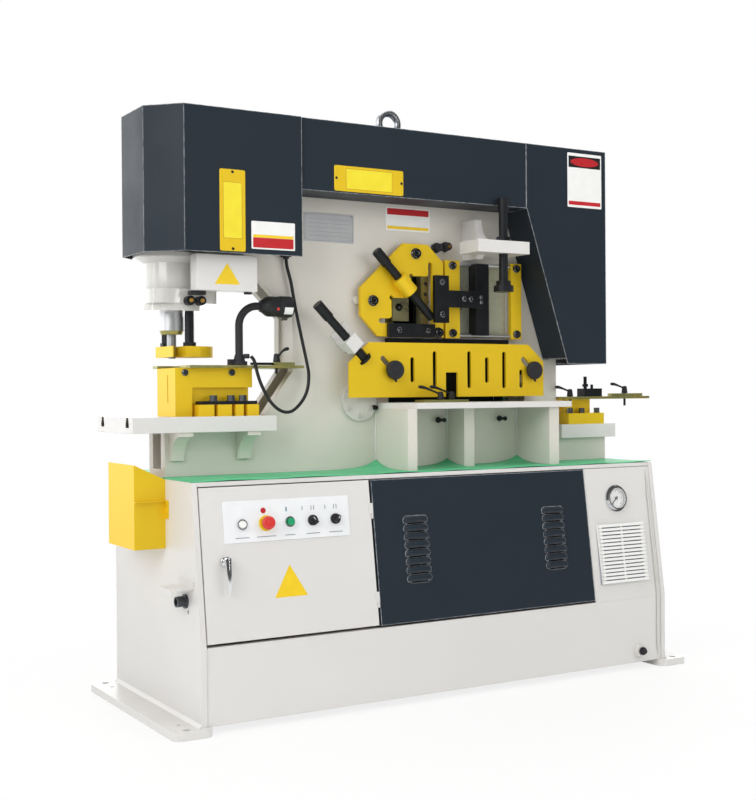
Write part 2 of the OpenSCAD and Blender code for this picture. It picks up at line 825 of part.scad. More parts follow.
module section_plate() {
  on_deck() {
    bolts = [[24, 689], [-137, 533], [109, 436]];
    color("#efc50b") difference() {
      union() {
        plate_xz(sec_y, sec_y + 13) section_2d();
        for (b = bolts) pin_y(b[0], b[1], 13, sec_y + 12, yf);
        on_screw(sec_c, sec_ax) translate([0, 0, -32]) cylinder(r = 26, h = 64);
      }
      on_screw(sec_c, sec_ax) translate([0, 0, -90]) cylinder(r = scr_r + run_clear, h = 180);
    }
    color("#22262a") {
      for (b = bolts) front_bolt(b[0], b[1], 14, sec_y);
      box([-86, sec_y - 12, 421], [90, sec_y, 463]);
      for (x = [-45, 62]) front_bolt(x, 442, 7, sec_y - 12);
    }
  }
}

module section_screw() {
  color("#2a2e33") on_deck() on_screw(sec_c, sec_ax) {
    translate([0, 0, -144]) cylinder(r = scr_r, h = 290);
    translate([0, 0, -144]) cylinder(r = scr_r + 3, h = 52);
    translate([0, 0, -148]) cylinder(r1 = scr_r, r2 = scr_r + 3, h = 4);
  }
}

// Bar shear

module bar_guard() {
  on_deck() {
    rods = [664, 429];
    color("#efc50b") {
      box([138, sec_y, 419], [195, sec_y + 16, 674]);
      box([404, sec_y, 419], [447, sec_y + 16, 674]);
      for (x = [166, 426], z = [657, 436]) pin_y(x, z, 8, sec_y + 15, yf);
    }
    color("#b9bcc0") for (z = rods) pin_x(sec_y + 8, z, 6, 193, 405);
    color("#22262a") for (x = [166, 426], z = [657, 436]) front_bolt(x, z, 11, sec_y);
  }
}

module guard_window() {
  color("#cfd8d8", 0.4) on_deck() box([178, sec_y + 16, 421], [414, sec_y + 21, 672]);
}

module guard_arm() {
  color("#22262a") on_deck() {
    y0 = sec_y - 50;
    difference() {
      box([242, sec_y - 28, 426], [292, sec_y + 15, 668]);
      for (z = [664, 429]) {
        pin_x(sec_y + 8, z, 6 + run_clear, 230, 300);
        box([230, sec_y - 40, z > 500 ? z : 400], [300, sec_y + 30, z > 500 ? 700 : z]);
      }
    }
    box([118, y0, 517], [255, sec_y - 28, 571]);
    box([67, y0, 466], [119, y0 + 16, 618]);
    for (z = [597, 493]) front_bolt(93, z, 8, y0);
    for (z = [536, 552]) front_bolt(244, z, 5, y0);
    for (x = [178, 205]) front_bolt(x, 545, 7, y0);
  }
}

module holddown_brackets() {
  color("#cfcec8") on_deck() {
    // threaded arm of the bar hold-down
    difference() {
      box([arm_x[0], barscr[1] - 28, arm_h[0]], [arm_x[1], yf, arm_h[1]]);
      translate([barscr[0], barscr[1], arm_h[0] - 10]) cylinder(r = bar_r + run_clear, h = arm_t + 20);
      translate([arm_x[0], yf, arm_h[0] - 10]) cylinder(r = 76, h = arm_t + 20);
    }
    // lock nut on the arm
    translate([barscr[0], barscr[1], arm_h[1]]) difference() {
      cylinder(r = 25, h = 14, $fn = 6);
      translate([0, 0, -1]) cylinder(r = bar_r + run_clear, h = 20);
    }
    // its gusset, cut to a curve
    plate_yz(arm_x[0] + 61, arm_x[0] + 87) difference() {
      translate([yf - 110, arm_h[0] - 12]) square([110, arm_t + 88]);
      translate([yf - 150, arm_h[1] + 76]) circle(76);
      translate([yf - 150, arm_h[0] - 46]) circle(76);
    }
    // threaded block of the sliding guard
    difference() {
      union() {
        on_screw(flat_c, grd_m) box([-23, -23, -91], [23, 23, -45]);
        on_screw(flat_c, grd_m) box([-18, 20, -88], [18, yf - grd_m - 4, -50]);
        plate_xz(yf - 7, yf) polygon([[-275, 420], [-228, 467], [-182, 421], [-229, 374]]);
      }
      on_screw(flat_c, grd_m) translate([0, 0, -120]) cylinder(r = scr_r + run_clear, h = 100);
    }
  }
}

module bar_screw() {
  color("#2a2e33") on_deck() translate([barscr[0], barscr[1], arm_h[0]]) {
    translate([0, 0, -119]) cylinder(r = bar_r, h = arm_t + 256);
    translate([0, 0, arm_t + 95]) cylinder(r = bar_r + 2.5, h = 44);
    translate([0, 0, -123]) cylinder(r = 32, h = 20);
    translate([0, 0, -103]) cylinder(r = 24, h = 15);
  }
}

// Flat shear

module guard_2d() {
  slots = [[-10, 275, 355], [75, 255, 375], [210, 255, 376], [281, 272, 357], [351, 254, 376], [422, 255, 317]];
  difference() {
    polygon([
      [-169, 401], [452, 401], [516, 344], [516, 228], [164, 228], [164, 307], [118, 307], [118, 228],
      [-241, 228], [-241, 337]
    ]);
    for (s = slots) slot2([s[0], s[1] + slot_w / 2], [s[0], s[2] - slot_w / 2], slot_w);
    slot2(knob_a, knob_a + [-36, 36], 18);
    slot2(knob_b, knob_b + [-36, 36], 18);
    // seat of the screw's collar and the way in for its shank
    translate(flat_c) rotate(-45) square([9.4, 48], center = true);
    translate(flat_c) rotate(135) translate([0, -scr_r - 1.5]) square([60, 2 * scr_r + 3]);
  }
}

module flat_guard() {
  color("#efc50b") on_deck() plate_xz(grd_y - guard_t, grd_y) guard_2d();
}

module flat_screw() {
  color("#2a2e33") on_deck() on_screw(flat_c, grd_m) {
    translate([0, 0, -236]) cylinder(r = scr_r, h = 240);
    translate([0, 0, -236]) cylinder(r = scr_r + 3, h = 58);
    translate([0, 0, -4]) cylinder(r = 22, h = 8);
  }
}

module guard_knob(k) {
  y0 = grd_y - guard_t - run_clear;
  pin_y(k[0], k[1], 7.7, y0, yf + 12);
  pin_y(k[0], k[1], 14, grd_y + run_clear, yf - run_clear);
  pin_y(k[0], k[1], 15, y0 - 6, y0);
  pin_y(k[0], k[1], 30, y0 - 24, y0 - 6);
  box([k[0] - 5, y0 - 20, k[1] - 37], [k[0] + 5, y0 - 10, k[1] - 27]);
}

module knob_left() {
  color("#1d2023") on_deck() guard_knob(knob_a);
}

module knob_right() {
  color("#1d2023") on_deck() guard_knob(knob_b);
}

module shear_table() {
  on_deck() {
    y0 = yf - stable_dep;
    color("#d6d5cf") difference() {
      translate([0, 0, st_top - stable_t]) linear_extrude(stable_t)
        polygon([[-111, yf], [-111, yf - 71], [-78, y0], [528, y0], [528, yf]]);
      for (p = tlevers()) translate([p[0], p[1], 0]) cylinder(r = 4.5, h = 300);
    }
    color("#a9a488") difference() {
      box([-10, -170, st_top], [160, -116, st_top + 8]);
      for (p = tlevers()) translate([p[0], p[1], 0]) cylinder(r = 4.5, h = 300);
    }
  }
}

function tlevers() = [[61, -156], [121, -130]];

// a clamp lever on a stud: the arm leaves to -X and rises
module clamp_lever(p, z, down, len, rise) {
  a = atan2(rise, len);
  translate([p[0], p[1], z - down]) cylinder(r = 4.2, h = down + 2);
  translate([p[0], p[1], z + run_clear]) cylinder(r1 = 11, r2 = 8, h = 20);
  translate([p[0], p[1], z + 18]) rotate([0, -90 + a, 0]) {
    cylinder(r1 = 5, r2 = 4, h = len);
    translate([0, 0, len - 9]) cylinder(r1 = 4, r2 = 6.6, h = 6);
    translate([0, 0, len - 3]) cylinder(r = 6.6, h = 6);
    translate([0, 0, len + 3]) cylinder(r1 = 6.6, r2 = 3, h = 4);
  }
}

module table_lever_left() {
  color("#1d2023") on_deck() clamp_lever(tlevers()[0], st_top + 8, 24, 78, 24);
}

module table_lever_right() {
  color("#1d2023") on_deck() clamp_lever(tlevers()[1], st_top + 8, 24, 78, 24);
}

module pivot_pin() {
  color("#cfcfca") on_deck() {
    r = pivot_d / 2;
    pin_y(piv[0], piv[1], r, yf, yb);
    pin_y(piv[0], piv[1], r + 17, yf - 10, yf);
    pin_y(piv[0], piv[1], r + 17, yb, yb + 10);
    for (a = [30:60:330])
      front_bolt(piv[0] + 46 * cos(a), piv[1] + 46 * sin(a), 6, yf - 10);
  }
}

module rocker_2d() {
  difference() {
    union() {
      translate(piv) circle(95);
      polygon([
        [-250, 260], [-90, 279], [560, 279], [645, 341], [645, 429], [610, 460], [610, 659], [470, 659],
        [380, 740], [-40, 740], [-250, 420]
      ]);
    }
    translate(piv) circle(d = pivot_d + 2 * run_clear);
    translate([-20, 440]) square([78, 160]);
    translate([262, 440]) square([73, 200]);
  }
}

module rocker_beam() {
  color("#7f858b") on_deck() {
    y1 = frame_y - rocker_t / 2;
    y2 = frame_y + rocker_t / 2;
    plate_xz(y1, y2) rocker_2d();
    // moving blade of the flat shear and the block at the section opening
    box([-80, y1 - 5, 285], [540, y1, 330]);
    box([-68, y1 - 4, 450], [-24, y1, 545]);
    pin_y(-46, 500, 9, y1 - 5.5, y1 - 4);
    // notching punch on the end of the beam
    box([640, frame_y - 32, 341], [712, frame_y + 32, 429]);
  }
}

module shear_rod() {
  color("#c4c8cc") on_deck() translate([shear_x, frame_y, 0]) {
    tip = 659.5 + rod_r;
    translate([0, 0, tip]) cylinder(r = rod_r, h = 220);
    translate([0, 0, tip]) sphere(rod_r);
  }
}

module fixed_blades() {
  on_deck() {
    // dark bar under the section plates, lower flat blade, section and bar blades
    color("#24282c") box([-75, yf - 20, 366], [400, yf, 417]);
    color("#9aa0a6") {
      box([-64, yf, 196], [480, yfi - 2, 211]);
      box([62, yf, 421], [92, yfi - 2, 620]);
      box([196, yf, 424], [262, yfi - 2, 668]);
      box([335, yf, 424], [402, yfi - 2, 668]);
    }
  }
}

// Notcher

module notch_table() {
  color("#d6d5cf") on_deck() box([620, -70, 81], [620 + ntable_len, frame_y + 90, n_top]);
}

module notch_die() {
  on_deck() {
    color("#efc50b") difference() {
      union() {
        box([651, -70, n_top], [810, 90, n_top + 38]);
        box([666, -34, n_top + 38], [776, 88, nd_top]);
      }
      box([630, frame_y - 36, nd_top - 40], [790, frame_y + 36, nd_top + 1]);
    }
    color("#5a5f63") for (x = [672, 724, 792]) hex_top(x, -52, n_top + 38, 10, 18);
  }
}

module notch_lever_left() {
  color("#1d2023") on_deck() clamp_lever([665, -60], ng_top, 24, 58, 16);
}

module notch_lever_right() {
  color("#1d2023") on_deck() clamp_lever([915, -60], ng_top + 10, 44, 58, 16);
}

module notch_fence() {
  color("#a9a488") on_deck() difference() {
    box([846, -71, ng_top + run_clear], [990, -49, ng_top + 10]);
    translate([915, -60, 0]) cylinder(r = 4.5, h = 400);
  }
}

// Punch gauge

module punch_fence() {
  color("#a9a488") on_deck() difference() {
    union() {
      box([-486, -80, gp_top + run_clear], [-418, -56, gp_top + 10]);
      pin_x(-68, gp_top + 5.5, 4, -560, -480);
    }
    translate([-474, -68, 0]) cylinder(r = 4.5, h = 400);
  }
}

module fence_lever() {
  color("#1d2023") on_deck() translate([-474, -68, 0]) mirror([1, 0, 0])
    clamp_lever([0, 0], gp_top + 10, 34, 36, 24);
}

module punch_ram() {
  on_deck() translate([px, frame_y, 0]) {
    color("#d8dadc") translate([0, 0, 450]) cylinder(r = ram_r, h = 120);
    color("#c9c3a2") {
      translate([0, 0, 430]) cylinder(r = 38, h = 40);
      translate([0, 0, 419]) cylinder(r1 = 31, r2 = 35, h = 11);
    }
    color("#8d9297") {
      translate([0, 0, 384]) cylinder(r = punch_d / 2, h = 36);
      translate([0, 0, 348]) cylinder(r = punch_d / 2 - 3, h = 37);
    }
  }
}

// Lamp

module lamp_stand() {
  color("#1d2023") on_deck() {
    neck_r = 11.5;
    bend = 60;
    z1 = 444;
    translate([lamp[0], lamp[1], gp_top]) cylinder(r = 24, h = 12);
    translate([lamp[0], lamp[1], gp_top + 12]) cylinder(r1 = 18, r2 = 13, h = 20);
    box([lamp[0] - 34, lamp[1] - 10, gp_top], [lamp[0] - 20, lamp[1] + 10, gp_top + 18]);
    translate([lamp[0], lamp[1], gp_top + 20]) cylinder(r = neck_r, h = z1 - gp_top - 20);
    translate([lamp[0] + bend, lamp[1], z1]) rotate([90, 0, 0])
      rotate([0, 0, 90]) rotate_extrude(angle = 90) translate([bend, 0]) circle(neck_r);
    pin_x(lamp[1], z1 + bend, neck_r, lamp[0] + bend - 1, lamp[0] + bend + 9);
    // where the cable enters the base
    translate([lamp[0] + 10, lamp[1] - 11, 354]) rotate([0, 90, -40]) cylinder(r = 7, h = 16);
  }
}

module lamp_head() {
  color("#1d2023") on_deck() {
    x0 = lamp[0] + 69;
    z = 504;
    difference() {
      union() {
        translate([x0, lamp[1], z]) rotate([0, 90, 0]) cylinder(r1 = 18, r2 = 32, h = 26);
        pin_x(lamp[1], z, 32, x0 + 26, x0 + 110);
        pin_x(lamp[1], z, 34.5, x0 + 66, x0 + 110);
        pin_y(x0 + 44, z, 6, lamp[1] - 35, lamp[1]);
      }
      pin_x(lamp[1], z, 30, x0 + 92, x0 + 111);
    }
  }
}

// Cable: an eight sided tube swept along a smooth curve through the route points

function cr(p, i, t) =
  let (n = len(p) - 1)
  let (a = p[max(i - 1, 0)], b = p[i], c = p[min(i + 1, n)], d = p[min(i + 2, n)])
  0.5 * (2 * b + (c - a) * t + (2 * a - 5 * b + 4 * c - d) * t * t + (3 * b - a - 3 * c + d) * t * t * t);

function route(p, k) = [
  for (i = [0:len(p) - 2]) for (j = [0:k - 1]) cr(p, i, j / k),
  p[len(p) - 1]
];

module lamp_cord() {
  sides = 8;
  path = route(cord_pts, 4);
  n = len(path);
  pts = [
    for (i = [0:n - 1])
      let (d = path[min(i + 1, n - 1)] - path[max(i - 1, 0)], t = d / norm(d))
      let (u = cross(t, [0, 1, 0]), v = u / norm(u), w = cross(t, v))
      for (k = [0:sides - 1]) path[i] + cord_r * (cos(k * 45) * v + sin(k * 45) * w)
  ];
  faces = concat(
    [[for (k = [0:sides - 1]) k]],
    [[for (k = [0:sides - 1]) (n - 1) * sides + sides - 1 - k]],
    [
      for (i = [0:n - 2]) for (k = [0:sides - 1])
        [i * sides + k, (i + 1) * sides + k, (i + 1) * sides + (k + 1) % sides, i * sides + (k + 1) % sides]
    ]
  );
  color("#15171a") on_deck() polyhedron(pts, faces);
}

// Door and controls

module cabinet_door() {
  color("#d9d8d2") on_slope() difference() {
    box([door_x1, -2, seam + 2], [door_x2, 18, bay_s - seam]);
    box([door_x1 + sheet, 1, seam + 2 + sheet], [door_x2 - sheet, 19, bay_s - seam - sheet]);
    ctrl_holes();
    translate([door_x1 + 65, 0, 225]) rotate([90, 0, 0]) cylinder(r = 7 + run_clear, h = 60, center = true);
  }
  // knuckles that turn on the hinge pins
  color("#d9d8d2") for (h = hinge_s) on_slope(hinge_x, h) translate([0, hinge_y, 0]) difference() {
    union() {
      cylinder(r = 4, h = 32);
      box([-9, -1, 0], [-2, 2.5, 32]);
    }
    translate([0, 0, -1]) cylinder(r = hinge_r + run_clear, h = 40);
  }
}

module ctrl_holes() {
  for (i = [1, 2, 3, 4]) translate([ctrl_x + i * ctrl_pitch, 0, ctrl_s]) rotate([90, 0, 0])
    cylinder(r = stem_r + run_clear, h = 60, center = true);
}

module control_plate() {
  color("#f0f0ee") on_slope() {
    x1 = ctrl_x - 56;
    x2 = ctrl_x + 4 * ctrl_pitch + 47;
    bezels = [15, 22, 15, 15, 15];
    difference() {
      union() {
        box([x1, -4, ctrl_s - 50], [x2, -2, ctrl_s + 66]);
        for (i = [0:4]) translate([ctrl_x + i * ctrl_pitch, -4, ctrl_s]) rotate([90, 0, 0])
          cylinder(r = bezels[i], h = 6);
        translate([ctrl_x, -10, ctrl_s]) rotate([90, 0, 0]) cylinder(r1 = lens_r, r2 = lens_r - 2, h = 7);
      }
      ctrl_holes();
    }
  }
}

module door_handle() {
  color("#c9ccd0") on_slope(door_x1 + 65, 225) {
    rotate([90, 0, 0]) translate([0, 0, -8]) cylinder(r = 7, h = 14);
    rotate([90, 0, 0]) translate([0, 0, 2 + run_clear]) cylinder(r = 15, h = 12);
    rotate([90, 0, 0]) translate([0, 0, 12]) cylinder(r = 9, h = 16);
    box([-8, -29, -92], [8, -20, 4]);
  }
}

module push_button(i, r, h, travel) {
  on_slope(ctrl_x + i * ctrl_pitch, ctrl_s) rotate([90, 0, 0]) {
    translate([0, 0, -4]) cylinder(r = stem_r, h = 20);
    translate([0, 0, 10 + travel + 0.5]) cylinder(r = r, h = h);
  }
}

module estop_button() {
  color("#c8201c") {
    push_button(1, estop_r, 14, estop_travel);
    on_slope(ctrl_x + ctrl_pitch, ctrl_s) rotate([90, 0, 0])
      translate([0, 0, 24 + estop_travel + 0.5]) cylinder(r1 = estop_r, r2 = estop_r - 5, h = 4);
  }
}

module start_button() {
  color("#1f8a3a") push_button(2, start_r, 5, 3);
}

module selector(i) {
  on_slope(ctrl_x + i * ctrl_pitch, ctrl_s) rotate([90, 0, 0]) {
    translate([0, 0, -4]) cylinder(r = stem_r, h = 16);
    translate([0, 0, 10 + run_clear]) cylinder(r = sel_r, h = 6);
    translate([0, 0, 10 + run_clear]) rotate(i == 3 ? 40 : -40) linear_extrude(16)
      polygon([[-4, -11], [4, -11], [3.4, 11.4], [-3.4, 11.4]]);
  }
}

module selector_left() {
  color("#1d2023") selector(3);
}

module selector_right() {
  color("#1d2023") selector(4);
}

base_ends();
front_panel();
base_shell();
power_pack();
electrics_plate();
louver_panel();
gauge_case();
vent_grille();
slug_bin();
deck_mat();
frame_plates();
frame_ribs();
hydraulic_cylinders();
punch_table();
stripper();
die_block();
die_clamps();
gauge_plates();
limit_switch_box();
head_cover();
beam_cover();
right_cover();
lifting_eye();
section_plate();
bar_guard();
guard_window();
holddown_brackets();
shear_table();
pivot_pin();
fixed_blades();
notch_table();
notch_die();
lamp_stand();
lamp_head();
lamp_cord();
gauge_needle();
cabinet_door();
control_plate();
door_handle();
estop_button();
start_button();
selector_left();
selector_right();
punch_ram();
rocker_beam();
shear_rod();
section_screw();
guard_arm();
bar_screw();
flat_guard();
flat_screw();
knob_left();
knob_right();
table_lever_left();
table_lever_right();
punch_fence();
fence_lever();
notch_fence();
notch_lever_left();
notch_lever_right();
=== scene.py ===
"""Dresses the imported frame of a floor-standing hydraulic ironworker.

Lengths are metres in the frame's axes: X to the right, Y to the back, Z up, from the middle of the base on
the floor. New pieces are numpy surfaces, and finishes are procedural materials on Object coordinates, apart
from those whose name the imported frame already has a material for.
"""
from __future__ import annotations

import logging
import math
from dataclasses import dataclass, field
from enum import Enum
from typing import Callable, Sequence

import bmesh
import bpy
import numpy as np
from mathutils import Matrix, Vector


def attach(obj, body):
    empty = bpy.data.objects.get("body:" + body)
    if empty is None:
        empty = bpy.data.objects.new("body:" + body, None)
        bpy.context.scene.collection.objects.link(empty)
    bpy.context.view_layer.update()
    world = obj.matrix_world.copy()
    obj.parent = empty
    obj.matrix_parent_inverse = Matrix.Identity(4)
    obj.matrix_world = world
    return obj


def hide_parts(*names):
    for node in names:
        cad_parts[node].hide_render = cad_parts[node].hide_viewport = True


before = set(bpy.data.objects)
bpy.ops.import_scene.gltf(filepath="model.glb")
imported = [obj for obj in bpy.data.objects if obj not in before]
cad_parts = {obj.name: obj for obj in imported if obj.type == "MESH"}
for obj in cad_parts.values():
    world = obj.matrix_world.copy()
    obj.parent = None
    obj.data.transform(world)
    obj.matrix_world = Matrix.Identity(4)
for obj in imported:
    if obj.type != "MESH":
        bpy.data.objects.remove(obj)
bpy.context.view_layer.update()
LOG = logging.getLogger("ironworker")
MM = 0.001
SMOOTH_ANGLE = math.radians(32)
MERGE = 1e-7
NODE_MERGE = 1e-6
ANYWHERE = (-99000.0, 99000.0)
Pair = tuple[float, float]
Point = tuple[float, float, float]
Profile = tuple[Pair, ...]


class Body(Enum):
    """The moving bodies that new pieces ride on."""

    MACHINE = "machine"
    DOOR = "door"
    HANDLE = "handle"
    ESTOP = "estop"
    SELECTOR_LEFT = "selector_l"
    SELECTOR_RIGHT = "selector_r"
    KNOB_LEFT = "knob_l"
    KNOB_RIGHT = "knob_r"
    TABLE_LEVER_LEFT = "tlever_l"
    TABLE_LEVER_RIGHT = "tlever_r"
    FENCE_LEVER = "pfence_lever"
    NOTCH_LEVER_LEFT = "nlever_l"
    NOTCH_LEVER_RIGHT = "nlever_r"


class Slot(Enum):
    """The record's material slots."""

    GREY = "grey_paint"
    YELLOW = "yellow_paint"
    MAT = "green_mat"
    BLACKENED = "black_oxide"
    PLATED = "plated"
    CHROME = "chrome"
    BLACK_PLASTIC = "black_plastic"
    WHITE_PLASTIC = "white_plastic"
    RED_PLASTIC = "red_plastic"
    CLEAR = "clear_sheet"
    CABLE = "cable"


def linear(colour: str) -> tuple[float, float, float, float]:
    """Turns a written colour into Blender's linear light.

    Args:
        colour: Six hex digits, as seen on a screen.

    Returns:
        Red, green, blue and a full alpha.
    """
    part = np.array([int(colour[i:i + 2], 16) for i in (0, 2, 4)]) / 255
    light = np.where(part <= 0.04045, part / 12.92, ((part + 0.055) / 1.055) ** 2.4)
    return (*light.tolist(), 1.0)


def mm(*values: float) -> np.ndarray:
    """Gives millimetres as an array of metres."""
    return np.array(values, float) * MM


class Wiring:
    """The node tree of one material, with short calls that add and join nodes."""

    def __init__(self, name: str) -> None:
        """Starts a material with one Principled shader and its Object coordinates."""
        self.material = bpy.data.materials.new(name)
        self.material.use_nodes = True
        self.tree = self.material.node_tree
        self.tree.nodes.clear()
        self.shader = self.add("ShaderNodeBsdfPrincipled")
        output = self.add("ShaderNodeOutputMaterial")
        self.tree.links.new(self.shader.outputs[0], output.inputs["Surface"])
        self.coords = self.add("ShaderNodeTexCoord").outputs["Object"]

    def add(self, kind: str, sockets: dict | None = None, **settings: object) -> bpy.types.Node:
        """Adds a node.

        Args:
            kind: The node's type name.
            sockets: Input name or number to a value or another node's output.
            settings: The node's own properties.

        Returns:
            The new node.
        """
        node = self.tree.nodes.new(kind)
        for key, value in settings.items():
            setattr(node, key, value)
        for key, value in (sockets or {}).items():
            self.feed(node.inputs[key], value)
        return node

    def feed(self, socket: bpy.types.NodeSocket, value: object) -> None:
        """Joins an output to a socket, or writes a plain value on it."""
        if isinstance(value, bpy.types.NodeSocket):
            self.tree.links.new(value, socket)
        else:
            socket.default_value = value

    def put(self, **values: object) -> None:
        """Feeds the shader's sockets, named with underscores for spaces."""
        for key, value in values.items():
            self.feed(self.shader.inputs[key.replace("_", " ")], value)

    def turned(self, stretch: Sequence[float], turn: Sequence[float] = (0, 0, 0)) -> bpy.types.NodeSocket:
        """Gives the Object coordinates stretched and turned by a Mapping node."""
        sockets = {"Vector": self.coords, "Scale": stretch, "Rotation": turn}
        return self.add("ShaderNodeMapping", sockets).outputs[0]

    def noise(self, per_metre: float, detail: float = 4.0, vector: object = None) -> bpy.types.NodeSocket:
        """Gives a noise value from 0 to 1.

        Args:
            per_metre: Cells of the noise in a metre.
            detail: Finer layers on top of it.
            vector: Coordinates to use in place of the Object ones.

        Returns:
            The noise's value output.
        """
        sockets = {"Vector": vector or self.coords, "Scale": per_metre, "Detail": detail}
        return self.add("ShaderNodeTexNoise", sockets).outputs[0]

    def span(self, value: object, low: float, high: float, to_low: float, to_high: float) -> bpy.types.NodeSocket:
        """Maps a value from one range to another and holds it there."""
        sockets = {"Value": value, "From Min": low, "From Max": high, "To Min": to_low, "To Max": to_high}
        return self.add("ShaderNodeMapRange", sockets).outputs[0]

    def times(self, first: object, second: object) -> bpy.types.NodeSocket:
        """Multiplies two values."""
        return self.add("ShaderNodeMath", {0: first, 1: second}, operation="MULTIPLY").outputs[0]

    def mix(self, share: object, first: object, second: object) -> bpy.types.NodeSocket:
        """Mixes two colours by a share from 0 to 1."""
        return self.add("ShaderNodeMix", {0: share, 6: first, 7: second}, data_type="RGBA").outputs[2]

    def bump(self, height: object, depth: float, strength: float, normal: object = None) -> bpy.types.NodeSocket:
        """Turns a height from 0 to 1 into a normal.

        Args:
            height: The height's output.
            depth: The depth of a height of 1, in metres.
            strength: How much of the bump shows.
            normal: The normal that it is added to.

        Returns:
            The bumped normal.
        """
        node = self.add("ShaderNodeBump", {"Height": height, "Distance": depth, "Strength": strength})
        if normal is not None:
            self.feed(node.inputs["Normal"], normal)
        return node.outputs[0]

    def rounded(self, radius: float) -> bpy.types.NodeSocket:
        """Gives a normal that rounds sharp edges by a radius."""
        return self.add("ShaderNodeBevel", {"Radius": radius}, samples=6).outputs[0]

    def edges(self, rounded: bpy.types.NodeSocket, full: float = 0.8) -> bpy.types.NodeSocket:
        """Gives 1 on edges and 0 on flat faces, from how far the rounded normal leans.

        Args:
            rounded: The rounded normal.
            full: The cosine of the lean that counts as a whole edge.

        Returns:
            The share of an edge.
        """
        normal = self.add("ShaderNodeNewGeometry").outputs["Normal"]
        lean = self.add("ShaderNodeVectorMath", {0: rounded, 1: normal}, operation="DOT_PRODUCT")
        return self.span(lean.outputs["Value"], 0.985, full, 0.0, 1.0)


@dataclass(frozen=True)
class Finish:
    """A finish: a name, a colour and how its material is wired."""

    name: str
    colour: str
    roughness: float = 0.4

    def wire(self, w: Wiring) -> None:
        """Wires the finish into a fresh material."""
        raise NotImplementedError

    def material(self) -> bpy.types.Material:
        """Returns the material of that name: the frame's own where it has one, or else one wired on first use."""
        made = bpy.data.materials.get(self.name)
        if made is None:
            wiring = Wiring(self.name)
            self.wire(wiring)
            made = wiring.material
            made.diffuse_color = linear(self.colour)
        return made


@dataclass(frozen=True)
class Paint(Finish):
    """Sprayed machine paint: orange peel, faint patches, and light edges that are rubbed paint and, on some
    finishes, painted highlight.
    """

    shade: str = "c8c7c0"
    worn_and_highlit: str = "ffffff"
    wear_and_highlight: float = 0.25
    peel: float = 0.10
    gloss: float = 0.25
    specular: float = 0.5
    edge_radius: float = 0.0022
    edge_lean: float = 0.8
    coat_roughness: float = 0.22

    def wire(self, w: Wiring) -> None:
        """Wires patches, light edges (rubbed paint and, on some finishes, painted highlight), uneven gloss and the
        peel.
        """
        patches = w.span(w.noise(1.7, 3), 0.15, 0.85, 0.0, 0.7)
        tone = w.mix(patches, linear(self.colour), linear(self.shade))
        rounded = w.rounded(self.edge_radius)
        # Light edge colour: rubbed paint, and painted highlight on the dark covers and the louvres.
        edge_flecks = w.span(w.noise(75, 6), 0.36, 0.62, 0.35, 1.0)
        worn_and_highlit = w.times(w.times(w.edges(rounded, self.edge_lean), edge_flecks), self.wear_and_highlight)
        specks = w.span(w.noise(420, 3), 0.70, 0.78, 0.0, 0.10)
        dusty = w.mix(specks, tone, linear(self.worn_and_highlit))
        w.put(Base_Color=w.mix(worn_and_highlit, dusty, linear(self.worn_and_highlit)), Coat_Weight=self.gloss)
        w.put(Specular_IOR_Level=self.specular, Coat_Roughness=self.coat_roughness)
        w.put(Roughness=w.span(w.noise(7, 5), 0.3, 0.7, self.roughness - 0.06, self.roughness + 0.09))
        w.put(Normal=w.bump(w.noise(650, 2), 0.0005, self.peel, rounded))


@dataclass(frozen=True)
class Metal(Finish):
    """Bare or blackened metal with tool marks drawn along one direction."""

    tint: str = "9a9fa4"
    metallic: float = 1.0
    drawn: Point = (1.0, 1.0, 1.0)
    marks: float = 0.18
    edge: str = "d8dadc"
    wear_and_highlight: float = 0.35

    def wire(self, w: Wiring) -> None:
        """Wires tone patches, tool marks and bright edges, which are rubbed metal and, on some finishes, painted
        glint.
        """
        cloud = w.span(w.noise(22, 5), 0.35, 0.68, 0.0, 0.8)
        tone = w.mix(cloud, linear(self.colour), linear(self.tint))
        rounded = w.rounded(0.0012)
        # Bright edge colour: rubbed metal, and painted glint on the socket bolts.
        worn_and_highlit = w.times(w.edges(rounded), self.wear_and_highlight)
        w.put(Base_Color=w.mix(worn_and_highlit, tone, linear(self.edge)), Metallic=self.metallic)
        lines = w.noise(260, 4, w.turned(self.drawn))
        w.put(Roughness=w.span(lines, 0.25, 0.75, self.roughness - 0.08, self.roughness + 0.12))
        w.put(Normal=w.bump(lines, 0.0004, self.marks, rounded))


@dataclass(frozen=True)
class Plating(Finish):
    """Yellow passivated zinc: straw, olive and green clouds that run into each other."""

    olive: str = "8d8a52"
    green: str = "a3b07a"

    def wire(self, w: Wiring) -> None:
        """Wires two layers of colour clouds over a soft metal."""
        clouds = w.span(w.noise(16, 6), 0.36, 0.64, 0.0, 1.0)
        streaks = w.span(w.noise(9, 4, w.turned((1.0, 3.0, 9.0))), 0.45, 0.7, 0.0, 0.8)
        tone = w.mix(clouds, linear(self.colour), linear(self.olive))
        w.put(Base_Color=w.mix(streaks, tone, linear(self.green)), Metallic=0.75)
        rounded = w.rounded(0.001)
        w.put(Roughness=w.span(clouds, 0, 1, self.roughness - 0.07, self.roughness + 0.1))
        w.put(Normal=w.bump(w.noise(300, 3), 0.0004, 0.12, rounded))


@dataclass(frozen=True)
class Plastic(Finish):
    """Moulded plastic or enamel print with a fine grain."""

    shade: str = "141619"
    grain: float = 0.10
    per_metre: float = 1500.0
    coat: float = 0.0

    def wire(self, w: Wiring) -> None:
        """Wires a faint tone change, handled gloss and the mould grain."""
        tone = w.span(w.noise(28, 4), 0.35, 0.7, 0.0, 0.6)
        w.put(Base_Color=w.mix(tone, linear(self.colour), linear(self.shade)), Coat_Weight=self.coat)
        w.put(Roughness=w.span(w.noise(40, 4), 0.3, 0.7, self.roughness - 0.06, self.roughness + 0.08))
        w.put(Normal=w.bump(w.noise(self.per_metre, 2), 0.0003, self.grain, w.rounded(0.0009)))


